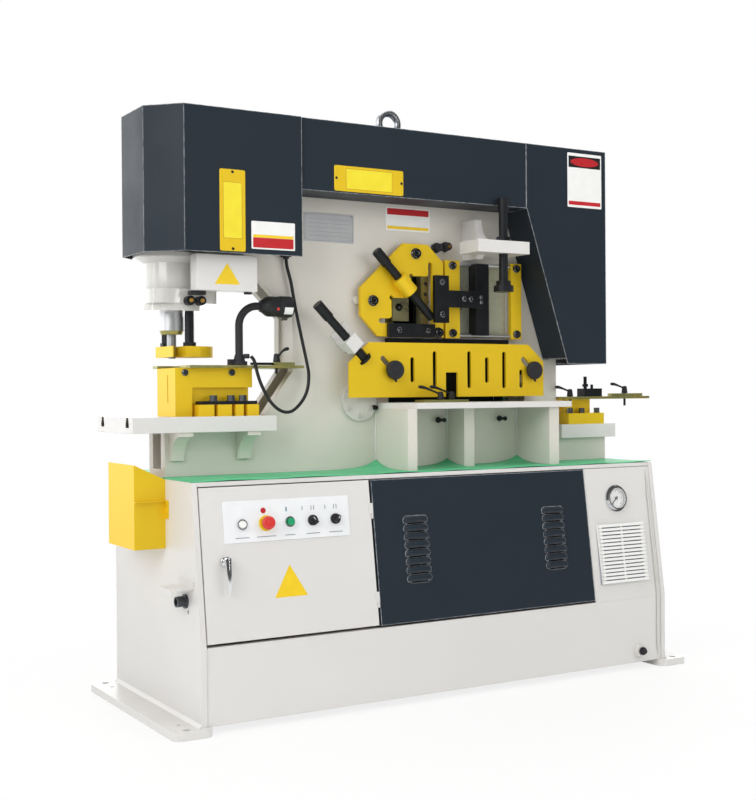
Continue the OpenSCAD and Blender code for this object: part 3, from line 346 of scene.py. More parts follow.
@dataclass(frozen=True)
class Threaded(Finish):
    """Blackened thread: fine rings across the screw, cut at one pitch along a direction in X and Z."""

    lean: float = 0.0
    pitch: float = 0.0026

    def wire(self, w: Wiring) -> None:
        """Wires rings across the screw's axis, brighter on their crests."""
        axis = w.turned((1, 1, 1), (0.0, self.lean, 0.0))
        sockets = {"Vector": axis, "Scale": 0.314 / self.pitch, "Distortion": 0.0}
        rings = w.add("ShaderNodeTexWave", sockets, bands_direction="Z", wave_profile="TRI").outputs["Fac"]
        crest = w.span(rings, 0.7, 1.0, 0.0, 0.5)
        w.put(Base_Color=w.mix(crest, linear(self.colour), linear("4a4d50")), Metallic=0.55)
        w.put(Roughness=w.span(w.noise(90, 3), 0.3, 0.7, self.roughness - 0.08, self.roughness + 0.1))
        w.put(Normal=w.bump(rings, 0.0007, 0.55, w.rounded(0.001)))


@dataclass(frozen=True)
class MatRubber(Finish):
    """Green deck mat: fine crossed ribs, lighter where it is rubbed."""

    shade: str = "1f8f52"
    light: str = "6fd39b"

    def wire(self, w: Wiring) -> None:
        """Wires the rub marks and the crossed ribs."""
        rub = w.span(w.noise(5, 5, w.turned((1.0, 3.0, 1.0))), 0.4, 0.75, 0.0, 0.7)
        tone = w.mix(rub, linear(self.colour), linear(self.shade))
        bright = w.span(w.noise(38, 4), 0.55, 0.8, 0.0, 0.3)
        w.put(Base_Color=w.mix(bright, tone, linear(self.light)), Roughness=self.roughness, Coat_Weight=0.12)
        along = {"Vector": w.coords, "Scale": 75.0, "Distortion": 0.6, "Detail": 1.0}
        ribs = w.add("ShaderNodeTexWave", along, bands_direction="X").outputs["Fac"]
        across = w.add("ShaderNodeTexWave", along, bands_direction="Y").outputs["Fac"]
        w.put(Normal=w.bump(w.times(ribs, across), 0.0008, 0.3))


@dataclass(frozen=True)
class Clear(Finish):
    """Clear sheet or glass with faint smears."""

    cover: float = 0.1

    def wire(self, w: Wiring) -> None:
        """Wires a mostly open sheet with smears in its cover and gloss."""
        smears = w.noise(14, 5)
        w.put(Base_Color=linear(self.colour), Alpha=w.span(smears, 0.4, 0.8, self.cover, self.cover + 0.05))
        w.put(Roughness=w.span(smears, 0.4, 0.8, self.roughness, self.roughness + 0.08))


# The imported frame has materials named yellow_paint, bright_steel, blade_steel, chrome, black_plastic and
# white_plastic, so YELLOW, STEEL, BLADE, CHROME, BLACK and WHITE show the frame's plain colours.
GREY = Paint("light_grey_paint", "dfdddb", 0.36, shade="d3d1cd", worn_and_highlit="f1f0ea", wear_and_highlight=0.35)
FRAME = Paint("frame_paint", "dcd8cf", 0.36, shade="d0cbc1", worn_and_highlit="f1f0ea", wear_and_highlight=0.35)
# The covers' light fold edges are partly rubbed paint and partly painted highlight.
DARK = Paint("anthracite_paint", "262f38", 0.42, shade="212931", worn_and_highlit="c9ced3", wear_and_highlight=0.95, peel=0.3, gloss=0.0,
             specular=0.18, edge_radius=0.004, edge_lean=0.94)
YELLOW = Paint("yellow_paint", "ffd500", 0.34, shade="f6c800", worn_and_highlit="6b5a22", wear_and_highlight=0.35, gloss=0.0, specular=0.12)
# The louvres' light edges at full strength are painted highlight, standing in for the glints at their ends.
LOUVRE = Paint("louvre_paint", "262f38", 0.30, shade="212931", worn_and_highlit="c9ced3", wear_and_highlight=1.0, peel=0.2, gloss=0.05,
               specular=0.25)
# Dark brown painted shade for the insides of the punch table's T-slots.
SLOT_SHADE = Paint("painted_slot_shade", "564d42", 0.6, shade="40382f", worn_and_highlit="8c8478", wear_and_highlight=0.3, gloss=0.0)
CAST = Paint("painted_casting", "d3d2cd", 0.30, shade="c6c5bf", worn_and_highlit="f2f1ec", wear_and_highlight=0.3, peel=0.2, gloss=1.0,
             coat_roughness=0.06)
MOTOR = Paint("motor_paint", "6f777e", 0.45, shade="5d656c", worn_and_highlit="a9afb4")
STEEL = Metal("bright_steel", "c9cbcd", 0.24, tint="b4b6b8", drawn=(1.0, 1.0, 6.0))
BLADE = Metal("blade_steel", "8f9499", 0.38, tint="777c81", drawn=(1.0, 1.0, 9.0), marks=0.3)
# Dark steel for the rocker beam: painted shade for a part that sits in the opening behind the guard.
SHADOWED = Metal("shadowed_steel", "3a3c3a", 0.45, tint="2c2e2c", metallic=0.7, edge="77796f", wear_and_highlight=0.3)
EYE = Metal("forged_steel", "b9bcbf", 0.3, tint="8e9194", marks=0.35, edge="e2e4e6")
BLACKENED = Metal("blackened_steel", "1b1d20", 0.42, tint="26292d", metallic=0.55, edge="5b5f64", wear_and_highlight=0.45)
# The near-white edge colour on these black bolts is painted glint, standing in for the bright rings on their heads.
SOCKET = Metal("socket_bolt", "1d1f22", 0.2, tint="282b2f", metallic=0.75, marks=0.05, edge="eceef0", wear_and_highlight=1.0)
FILTER = Plastic("filter_sheet", "8b92a0", 0.7, shade="7d8492", grain=0.4, per_metre=500.0)
BOLT = Metal("greyed_bolt", "5d6165", 0.36, tint="4a4e52", metallic=0.85, edge="a5a8ab")
BRASS = Metal("brass_tip", "c89a4a", 0.28, tint="b0843a", edge="efcf8a")
PLATED = Plating("passivated_plate", "b9a85c", 0.36)
PLATED_BLADE = Plating("passivated_blade", "cdc79a", 0.3, olive="a9a677", green="b4b98f")
CHROME = Metal("chrome", "dfe2e6", 0.09, tint="d3d7db", marks=0.02, edge="ffffff", wear_and_highlight=0.1)
ALUMINIUM = Metal("etched_aluminium", "d8dadb", 0.34, tint="cfd1d3", metallic=0.6, drawn=(7.0, 1.0, 1.0))
BLACK = Plastic("black_plastic", "17191c", 0.40)
GRIP = Plastic("rubbery_black", "1c1e20", 0.55, grain=0.25, per_metre=900.0)
WHITE = Plastic("white_plastic", "efefec", 0.35, shade="e6e6e2")
CONTROL = Plastic("control_sheet", "eceef0", 0.38, shade="e5e7ea", grain=0.05)
LENS = Plastic("pilot_lens", "f6f6f3", 0.16, shade="eeeeea", coat=0.6)
RED = Plastic("red_cap", "d8302a", 0.32, shade="c82620", coat=0.2)
GREEN = Plastic("green_cap", "12a06a", 0.28, shade="0d8f5e", coat=0.3)
SAFETY_YELLOW = Plastic("yellow_ring", "f3cf12", 0.32, shade="e9c205", coat=0.2)
CABLE = Plastic("cable_sheath", "15171b", 0.46, shade="1f2227", grain=0.18, per_metre=700.0)
PRINT_WHITE = Plastic("print_white", "f0f0ee", 0.34, shade="e8e8e5", grain=0.03, coat=0.3)
PRINT_RED = Plastic("print_red", "c0141f", 0.4, shade="b41019", grain=0.03)
PRINT_YELLOW = Plastic("print_yellow", "f4cf16", 0.34, shade="ecc40c", grain=0.03, coat=0.3)
PRINT_LEMON = Plastic("print_lemon", "efdc26", 0.34, shade="e8d31c", grain=0.03, coat=0.3)
PRINT_BROWN = Plastic("print_brown", "c08a1c", 0.36, shade="b07d18", grain=0.03, coat=0.3)
PRINT_BLACK = Plastic("print_black", "1a1b1d", 0.36, shade="222325", grain=0.03, coat=0.3)
PRINT_GREY = Plastic("print_grey", "8d9195", 0.4, shade="9a9ea2", grain=0.03)
PRINT_BLUE = Plastic("print_blue", "3f7f95", 0.4, shade="4a8aa0", grain=0.03)
MAT = MatRubber("deck_mat", "5cc78f", 0.6, shade="45b079", light="8fdcb1")
WINDOW = Clear("clear_window", "e6ece6", 0.04)
GLASS = Clear("gauge_glass", "fbfdfd", 0.02, cover=0.05)
THREAD_SLANTED = Threaded("slanted_thread", "1d1f22", 0.4, lean=math.radians(45))
THREAD_UPRIGHT = Threaded("upright_thread", "1d1f22", 0.4)


@dataclass(frozen=True)
class Placement:
    """A flat place on the machine: a point, the direction to the right and the direction up along it."""

    origin: Point
    right: Point = (1.0, 0.0, 0.0)
    up: Point = (0.0, 0.0, 1.0)

    @property
    def out(self) -> np.ndarray:
        """The direction away from the face, right across up."""
        return np.cross(self.right, self.up)

    def at(self, local: np.ndarray) -> np.ndarray:
        """Carries points given as right, up and out to the frame."""
        return np.asarray(self.origin) + local @ np.array([self.right, self.up, self.out])

    def local(self, points: np.ndarray) -> np.ndarray:
        """Gives frame points as millimetres to the right, up and out of the place."""
        return (points - np.asarray(self.origin)) @ np.array([self.right, self.up, self.out]).T / MM

    def turned(self, degrees: float) -> Placement:
        """Turns the place about its outward axis, anticlockwise."""
        angle = math.radians(degrees)
        right, up = np.array(self.right), np.array(self.up)
        return Placement(self.origin, tuple(math.cos(angle) * right + math.sin(angle) * up),
                         tuple(math.cos(angle) * up - math.sin(angle) * right))


def front(x: float, y: float, z: float) -> Placement:
    """Places on an upright face that looks to the front, in millimetres."""
    return Placement(tuple(mm(x, y, z)))


def sideways(x: float, y: float, z: float) -> Placement:
    """Places an axis that runs to the right, in millimetres."""
    return Placement(tuple(mm(x, y, z)), (0, 1, 0), (0, 0, 1))


def upward(x: float, y: float, z: float) -> Placement:
    """Places on a level face that looks up, in millimetres."""
    return Placement(tuple(mm(x, y, z)), (1, 0, 0), (0, 1, 0))


@dataclass(frozen=True)
class Slope:
    """The leaning front of the base: where it starts and how it leans."""

    fold_y: float = -0.338
    fold_z: float = 0.240
    run: float = 0.061
    rise: float = 0.441

    def place(self, x: float, along: float, proud: float = 0.0) -> Placement:
        """Places a point on the slope.

        Args:
            x: Millimetres from the middle.
            along: Millimetres up the slope.
            proud: Millimetres out of the slope.

        Returns:
            The place, with its up direction along the slope.
        """
        length = math.hypot(self.run, self.rise)
        up = (0.0, self.run / length, self.rise / length)
        base = Placement((x * MM, self.fold_y, self.fold_z), up=up)
        return Placement(tuple(base.at(mm(0, along, proud))), up=up)


SLOPE = Slope()


@dataclass(frozen=True)
class ControlRow:
    """The row of controls on the slope, in millimetres: the first one's place and the step to the next."""

    first_x: float = -699.0
    pitch: float = 74.0
    along: float = 323.0

    def place(self, number: int, aside: float = 0.0, above: float = 0.0) -> Placement:
        """Places a control by its number from the left, or a mark aside of it and above it."""
        return SLOPE.place(self.first_x + number * self.pitch + aside, self.along + above)


CONTROL_ROW = ControlRow()


@dataclass
class Shape:
    """Points and faces of one closed surface."""

    points: np.ndarray
    quads: np.ndarray
    caps: list[np.ndarray] = field(default_factory=list)

    @staticmethod
    def lattice(points: np.ndarray, wrap: tuple[bool, bool] = (False, False),
                keep: np.ndarray | None = None) -> Shape:
        """Joins a grid of points into quads.

        Args:
            points: Array of rows, columns and 3.
            wrap: Whether the rows and the columns close on themselves.
            keep: Which cells to keep, where some are left open.

        Returns:
            The surface.
        """
        rows, columns = points.shape[:2]
        i = np.arange(rows if wrap[0] else rows - 1)[:, None]
        j = np.arange(columns if wrap[1] else columns - 1)[None, :]
        below, beside = (i + 1) % rows, (j + 1) % columns
        corners = [i * columns + j, below * columns + j, below * columns + beside, i * columns + beside]
        quads = np.stack([np.broadcast_to(c, (i.size, j.size)) for c in corners], axis=-1)
        quads = quads.reshape(-1, 4) if keep is None else quads[keep]
        return Shape(points.reshape(-1, 3), quads)

    def faces(self, offset: int) -> list[list[int]]:
        """Lists the faces with their point numbers moved by an offset."""
        return (self.quads + offset).tolist() + [(cap + offset).tolist() for cap in self.caps]


Parts = list[tuple[Shape, Finish]]


def soften(corners: Sequence[Sequence[float]], radius: float, steps: int = 5, closed: bool = False) -> np.ndarray:
    """Rounds the corners of a line of points.

    Each corner becomes a quadratic curve between the points that lie a radius, or less than half a side,
    before and after it.

    Args:
        corners: The line's points.
        radius: How far from the corner the curve starts.
        steps: Points of each curve.
        closed: Whether the line closes on itself.

    Returns:
        The rounded line.
    """
    line = np.asarray(corners, float)
    before, after = np.roll(line, 1, axis=0) - line, np.roll(line, -1, axis=0) - line
    reach = [np.linalg.norm(side, axis=1, keepdims=True) for side in (before, after)]
    cut = np.minimum(radius, 0.49 * np.minimum(*reach))
    start, end = line + before / reach[0] * cut, line + after / reach[1] * cut
    t = np.linspace(0, 1, steps)[None, :, None]
    curve = (1 - t) ** 2 * start[:, None] + 2 * t * (1 - t) * line[:, None] + t ** 2 * end[:, None]
    if closed:
        return curve.reshape(-1, line.shape[1])
    return np.vstack([line[:1], curve[1:-1].reshape(-1, line.shape[1]), line[-1:]])


def lathe(profile: Sequence[Sequence[float]], place: Placement, sides: int = 56,
          radius: float = 0.8) -> Shape:
    """Turns a profile about a place's outward axis.

    A point is radius times the cosine and sine of the angle, at its height along the axis.

    Args:
        profile: Radius and height in millimetres, from one pole to the other.
        place: Where the axis stands.
        sides: Steps round the axis.
        radius: Rounding of the profile's corners in millimetres.

    Returns:
        The closed solid of revolution.
    """
    line = soften(profile, radius) * MM
    angle = np.linspace(0, 2 * np.pi, sides, endpoint=False)
    reach, height = line[:, 0:1], line[:, 1:2]
    local = np.stack([reach * np.cos(angle), reach * np.sin(angle), height + 0 * angle], axis=-1)
    return Shape.lattice(place.at(local), (False, True))


def rectangle(width: float, height: float, corner: float) -> np.ndarray:
    """Gives the outline of a rectangle with rounded corners, about its middle, in millimetres."""
    half = np.array([[-1, -1], [1, -1], [1, 1], [-1, 1]]) * np.array([width, height]) / 2
    return soften(half, corner, 6, closed=True)


def oval(across: float, tall: float, steps: int) -> np.ndarray:
    """Gives the outline of an ellipse with two half axes, about its middle."""
    turn = np.linspace(0, 2 * np.pi, steps, endpoint=False)
    return np.column_stack([across * np.cos(turn), tall * np.sin(turn)])


def shrunk(outline: np.ndarray, inset: float) -> np.ndarray:
    """Moves each point of a closed outline inwards, along the mean of its two sides' normals."""
    side = np.roll(outline, -1, axis=0) - np.roll(outline, 1, axis=0)
    normal = np.stack([-side[:, 1], side[:, 0]], axis=1)
    return outline + inset * normal / np.linalg.norm(normal, axis=1, keepdims=True)


def stacked(rings: Sequence[tuple[np.ndarray, float]]) -> np.ndarray:
    """Stacks outlines at their heights, from millimetres to rows of metres."""
    return np.stack([np.column_stack([ring, np.full(len(ring), z)]) for ring, z in rings]) * MM


def slab(outline: np.ndarray, low: float, high: float, place: Placement, ease: float = 0.3) -> Shape:
    """Raises a flat outline into a plate with an eased front edge.

    Args:
        outline: Closed outline in millimetres, anticlockwise.
        low: Millimetres out of the place where the plate starts.
        high: Millimetres out of the place where it ends.
        place: Where it lies.
        ease: How far the front edge is broken, in millimetres.

    Returns:
        The closed plate.
    """
    rings = [(outline, low), (outline, high - ease), (shrunk(outline, ease), high)]
    shape = Shape.lattice(place.at(stacked(rings)), (False, True))
    count = len(outline)
    shape.caps = [np.arange(count)[::-1], np.arange(count) + 2 * count]
    return shape


def band(outline: np.ndarray, width: float, low: float, high: float, place: Placement) -> Shape:
    """Makes a flat line that runs round an outline, as a closed ring between it and its inset."""
    inner = shrunk(outline, width)
    rings = [(outline, low), (outline, high), (inner, high), (inner, low)]
    return Shape.lattice(place.at(stacked(rings)), (True, True))


def sweep(path: np.ndarray, width: np.ndarray, height: np.ndarray, aside: Sequence[float], sides: int = 16) -> Shape:
    """Carries an ellipse along a path.

    At each point the ellipse stands across the path, its height towards the part of aside that is square to it.

    Args:
        path: Points in metres.
        width: Half width at each point, in metres.
        height: Half height at each point, in metres.
        aside: A direction that the path never takes.
        sides: Steps round the ellipse.

    Returns:
        The closed tube, with a point at each end.
    """
    tangent = np.gradient(path, axis=0)
    tangent /= np.linalg.norm(tangent, axis=1, keepdims=True)
    across = np.cross(tangent, np.asarray(aside, float))
    across /= np.linalg.norm(across, axis=1, keepdims=True)
    upward = np.cross(across, tangent)
    angle = np.linspace(0, 2 * np.pi, sides, endpoint=False)
    ring = (np.cos(angle)[None, :, None] * (across * width[:, None])[:, None]
            + np.sin(angle)[None, :, None] * (upward * height[:, None])[:, None])
    body = path[:, None] + ring
    ends = [np.repeat(path[i][None, None], sides, axis=1) for i in (0, -1)]
    return Shape.lattice(np.concatenate([ends[0], body, ends[1]]), (False, True))


def flowing(points: np.ndarray, steps: int) -> np.ndarray:
    """Runs a smooth curve through points, as a Catmull-Rom spline with a number of steps in each span."""
    line = np.vstack([2 * points[0] - points[1], points, 2 * points[-1] - points[-2]])
    p0, p1, p2, p3 = line[:-3], line[1:-2], line[2:-1], line[3:]
    t = (np.arange(steps) / steps)[None, :, None]
    spans = 0.5 * (2 * p1[:, None] + (p2 - p0)[:, None] * t
                   + (2 * p0 - 5 * p1 + 4 * p2 - p3)[:, None] * t ** 2
                   + (3 * p1 - p0 - 3 * p2 + p3)[:, None] * t ** 3)
    return np.vstack([spans.reshape(-1, points.shape[1]), points[-1:]])


def domed(count: int, share: float) -> np.ndarray:
    """Gives a factor along a path that rounds both ends, as a quarter circle over a share of the length."""
    t = np.linspace(0, 1, count)
    near = np.clip(np.minimum(t, 1 - t) / share, 0, 1)
    return np.sqrt(np.clip(1 - (1 - near) ** 2, 1e-4, 1))


def build(name: str, parts: Parts, replaces: Sequence[str] = (), body: Body = Body.MACHINE,
          closed: bool = True) -> bpy.types.Object:
    """Makes one piece from its shapes and lets it ride on a body.

    Args:
        name: The piece's name.
        parts: Shapes with their finishes.
        replaces: Nodes that it stands for.
        body: The body that it moves with.
        closed: Whether its faces are turned outwards as a closed shell.

    Returns:
        The new object.
    """
    points, faces, index = [], [], []
    finishes = list(dict.fromkeys(finish for _, finish in parts))
    offset = 0
    for shape, finish in parts:
        made = shape.faces(offset)
        points.append(shape.points)
        faces += made
        index += [finishes.index(finish)] * len(made)
        offset += len(shape.points)
    mesh = bpy.data.meshes.new(name)
    mesh.from_pydata(np.vstack(points).tolist(), [], faces)
    for finish in finishes:
        mesh.materials.append(finish.material())
    mesh.polygons.foreach_set("material_index", np.array(index, np.int32))
    work = bmesh.new()
    work.from_mesh(mesh)
    bmesh.ops.remove_doubles(work, verts=work.verts, dist=MERGE)
    bmesh.ops.dissolve_degenerate(work, edges=work.edges, dist=MERGE)
    if closed:
        bmesh.ops.recalc_face_normals(work, faces=work.faces)
    work.to_mesh(mesh)
    work.free()
    mesh.polygons.foreach_set("use_smooth", np.ones(len(mesh.polygons), bool))
    mesh.set_sharp_from_angle(angle=SMOOTH_ANGLE)
    piece = bpy.data.objects.new(name, mesh)
    bpy.context.collection.objects.link(piece)
    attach(piece, body.value)
    if replaces:
        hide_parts(*replaces)
    LOG.info("%s: %d faces on %s", name, len(mesh.polygons), body.value)
    return piece


def face_middles(mesh: bpy.types.Mesh) -> np.ndarray:
    """Gives the middle of each face, as rows of metres."""
    middles = np.empty(len(mesh.polygons) * 3)
    mesh.polygons.foreach_get("center", middles)
    return middles.reshape(-1, 3)


@dataclass(frozen=True)
class Region:
    """The faces of a node whose middles lie in a box, in millimetres, and the finish they get."""

    finish: Finish
    x: Pair = ANYWHERE
    y: Pair = ANYWHERE
    z: Pair = ANYWHERE

    def holds(self, middles: np.ndarray) -> np.ndarray:
        """Tells which of the face middles, in metres, lie in the box."""
        low, high = (mm(*(side[i] for side in (self.x, self.y, self.z))) for i in (0, 1))
        return np.all((middles > low) & (middles < high), axis=1)


@dataclass
class NodeSkin:
    """Gives every CAD node its finish, with fused pieces of another finish told apart by place."""

    whole: dict[Finish, str] = field(default_factory=lambda: {
        GREY: "base_ends front_panel base_shell punch_table holddown_brackets shear_table "
              "notch_table cabinet_door",
        FRAME: "frame_plates frame_ribs",
        DARK: "head_cover beam_cover right_cover louver_panel",
        YELLOW: "slug_bin stripper die_block die_clamps section_plate bar_guard flat_guard notch_die",
        CAST: "hydraulic_cylinders pivot_pin",
        MOTOR: "power_pack",
        PLATED: "gauge_plates punch_fence notch_fence electrics_plate",
        STEEL: "punch_ram shear_rod",
        # The rocker beam takes painted shade.
        SHADOWED: "rocker_beam",
        PLATED_BLADE: "fixed_blades",
        BLACKENED: "guard_arm",
        CHROME: "gauge_case",
        EYE: "lifting_eye",
        BLACK: "lamp_stand gauge_needle selector_left selector_right",
        WHITE: "vent_grille",
        CONTROL: "control_plate",
        GREEN: "start_button",
        WINDOW: "guard_window",
        THREAD_SLANTED: "section_screw flat_screw",
        THREAD_UPRIGHT: "bar_screw",
    })
    regions: dict[str, tuple[Region, ...]] = field(default_factory=lambda: {
        "base_ends": (Region(BOLT, (-900, -840.2), (-260, -206), (326, 373)),),
        "front_panel": (Region(BLACK, (700, 756), (-400, -349.2), (30, 90)),),
        "frame_ribs": (
            Region(BLACK, (80, 180), (-90, -42.1), (1375, 1430)),
            Region(BRASS, (136, 180), (-90, -72.1), (1375, 1430)),
            Region(BLACK, (-448, -418), (-70, -42), (1330, 1372))),
        "hydraulic_cylinders": (
            Region(BLACKENED, (-780, -705), (-100, -70.5), (1178, 1212)),
            Region(BRASS, (-780, -705), (-110, -94.1), (1178, 1212))),
        "punch_table": (
            # The T-slots' insides get painted shade.
            Region(SLOT_SHADE, y=(-98.5, -71.5), z=(829, 858.5)),
            Region(SLOT_SHADE, y=(111.5, 138.5), z=(829, 858.5))),
        "holddown_brackets": (Region(BLACKENED, (255, 311), (-222, -166), (1410.1, 1430)),),
        "punch_fence": (Region(BLACKENED, (-600, -486.2)),),
        "rocker_beam": (Region(PLATED, (-68, -24), z=(1131, 1226)),),
        "stripper": (Region(BLACKENED, z=(1065.2, 1300)),),
        "die_block": (Region(SOCKET, y=(-200, -75.1), z=(970, 1010)),),
        "die_clamps": (Region(BLACKENED, z=(893.1, 903.2)), Region(BOLT, z=(903.2, 990))),
        "gauge_plates": (Region(BLACKENED, (700, 820), z=(905.2, 1100)),),
        "section_plate": (
            Region(SOCKET, (-20, 70), (-120, -72.1), (1345, 1395)),
            Region(SOCKET, (-160, -110), (-120, -72.1), (1190, 1240)),
            Region(SOCKET, (91, 130), (-120, -72.1), (1095, 1140)),
            Region(BLACKENED, (-87, 91), (-120, -72.1), (1101, 1145)),
            Region(SOCKET, (-60, 80), (-120, -84.1), (1108, 1138))),
        "guard_arm": (Region(SOCKET, y=(-160, -122.1)),),
        "bar_guard": (
            Region(SOCKET, y=(-120, -72.1)),
            Region(STEEL, (195.2, 403.8), (-72, -40), (1085, 1370))),
        "shear_table": (Region(PLATED, z=(892.1, 910)),),
        "fixed_blades": (Region(BLACKENED, y=(-80, -42.1)),),
        "notch_die": (Region(BOLT, y=(-80, -35), z=(847.2, 900)),),
        "punch_ram": (Region(PLATED, z=(1099, 1113)), Region(BLADE, z=(1020, 1099))),
    })

    def dress(self) -> None:
        """Puts the finishes on the nodes and smooths their round faces."""
        for finish, names in self.whole.items():
            for name in names.split():
                self._dress_node(name, finish)

    def _dress_node(self, name: str, finish: Finish) -> None:
        """Gives one node its finish and its regions theirs."""
        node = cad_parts[name]
        mesh = node.data
        mesh.materials.clear()
        mesh.materials.append(finish.material())
        middles = face_middles(mesh)
        index = np.zeros(len(mesh.polygons), np.int32)
        for number, region in enumerate(self.regions.get(name, ()), start=1):
            mesh.materials.append(region.finish.material())
            index[region.holds(middles)] = number
        mesh.polygons.foreach_set("material_index", index)
        mesh.polygons.foreach_set("use_smooth", np.ones(len(mesh.polygons), bool))
        weld = node.modifiers.new("weld", "WELD")
        weld.merge_threshold = NODE_MERGE
        split = node.modifiers.new("split", "EDGE_SPLIT")
        split.split_angle = SMOOTH_ANGLE
        LOG.info("node %s: %s", name, finish.name)


@dataclass(frozen=True)
class SlopeRegion:
    """The faces of a node on the leaning front that stand between two heights, and the finish they get."""

    node: str
    finish: Finish
    low: float
    high: float

    def dress(self) -> None:
        """Marks the faces by how far their middles stand out of the slope."""
        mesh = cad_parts[self.node].data
        out = SLOPE.place(0, 0).local(face_middles(mesh))[:, 2]
        index = np.empty(len(mesh.polygons), np.int32)
        mesh.polygons.foreach_get("material_index", index)
        index[(out > self.low) & (out < self.high)] = len(mesh.materials)
        mesh.materials.append(self.finish.material())
        mesh.polygons.foreach_set("material_index", index)


SLOPE_REGIONS = (
    SlopeRegion("louver_panel", LOUVRE, 1.2, 40.0),
    SlopeRegion("vent_grille", FILTER, -2.5, 0.3),
)


@dataclass
class ControlPlateRegions:
    """Finishes of the control plate's bezels, told apart by their distance from each control."""

    reach: float = 24.0
    proud: float = 4.1
    lens_proud: float = 10.05
    finishes: tuple[Finish, ...] = (CHROME, SAFETY_YELLOW, CHROME, BLACK, BLACK)

    def dress(self) -> None:
        """Marks the bezels' faces, which stand proud of the plate."""
        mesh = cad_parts["control_plate"].data
        middles = face_middles(mesh)
        index = np.zeros(len(mesh.polygons), np.int32)
        for number, finish in enumerate(self.finishes):
            mesh.materials.append(finish.material())
            right, up, out = CONTROL_ROW.place(number).local(middles).T
            near = np.hypot(right, up) < self.reach
            index[near & (out > self.proud)] = number + 1
            if number == 0:
                lens = near & (out > self.lens_proud)
        mesh.materials.append(LENS.material())
        index[lens] = len(self.finishes) + 1
        mesh.polygons.foreach_set("material_index", index)


@dataclass
class LampCable:
    """The work lamp's cable: out of the cover's gland, down in a loop and up to the lamp's foot."""

    diameter: float = 0.010
    deck: float = 681.0
    route: tuple[Point, ...] = (
        (-433, -56, 651.2), (-430, -56.5, 626), (-418, -58, 580), (-407, -60, 515), (-396, -62, 459),
        (-382, -64, 393), (-371, -68, 337), (-369, -76, 300), (-378, -85, 257), (-400, -92, 220),
        (-438, -99, 190), (-476, -104, 190), (-513, -107, 217), (-541, -108, 262), (-556, -108, 300),
        (-566, -107.5, 338), (-575.5, -103, 354),
    )
    steps: int = 6

    def make(self) -> None:
        points = (np.array(self.route, float) + np.array([0, 0, self.deck])) * MM
        path = flowing(points, self.steps)
        radius = np.full(len(path), self.diameter / 2)
        cable = build("lamp_cable", [(sweep(path, radius, radius, (0, 1, 0), 14), CABLE)],
                      ["lamp_cord"])


@dataclass(frozen=True)
class Leg:
    """A leg of the shear table, in millimetres, and how high the mat curls up beside it."""

    x: float
    width: float
    front: float
    curl: float


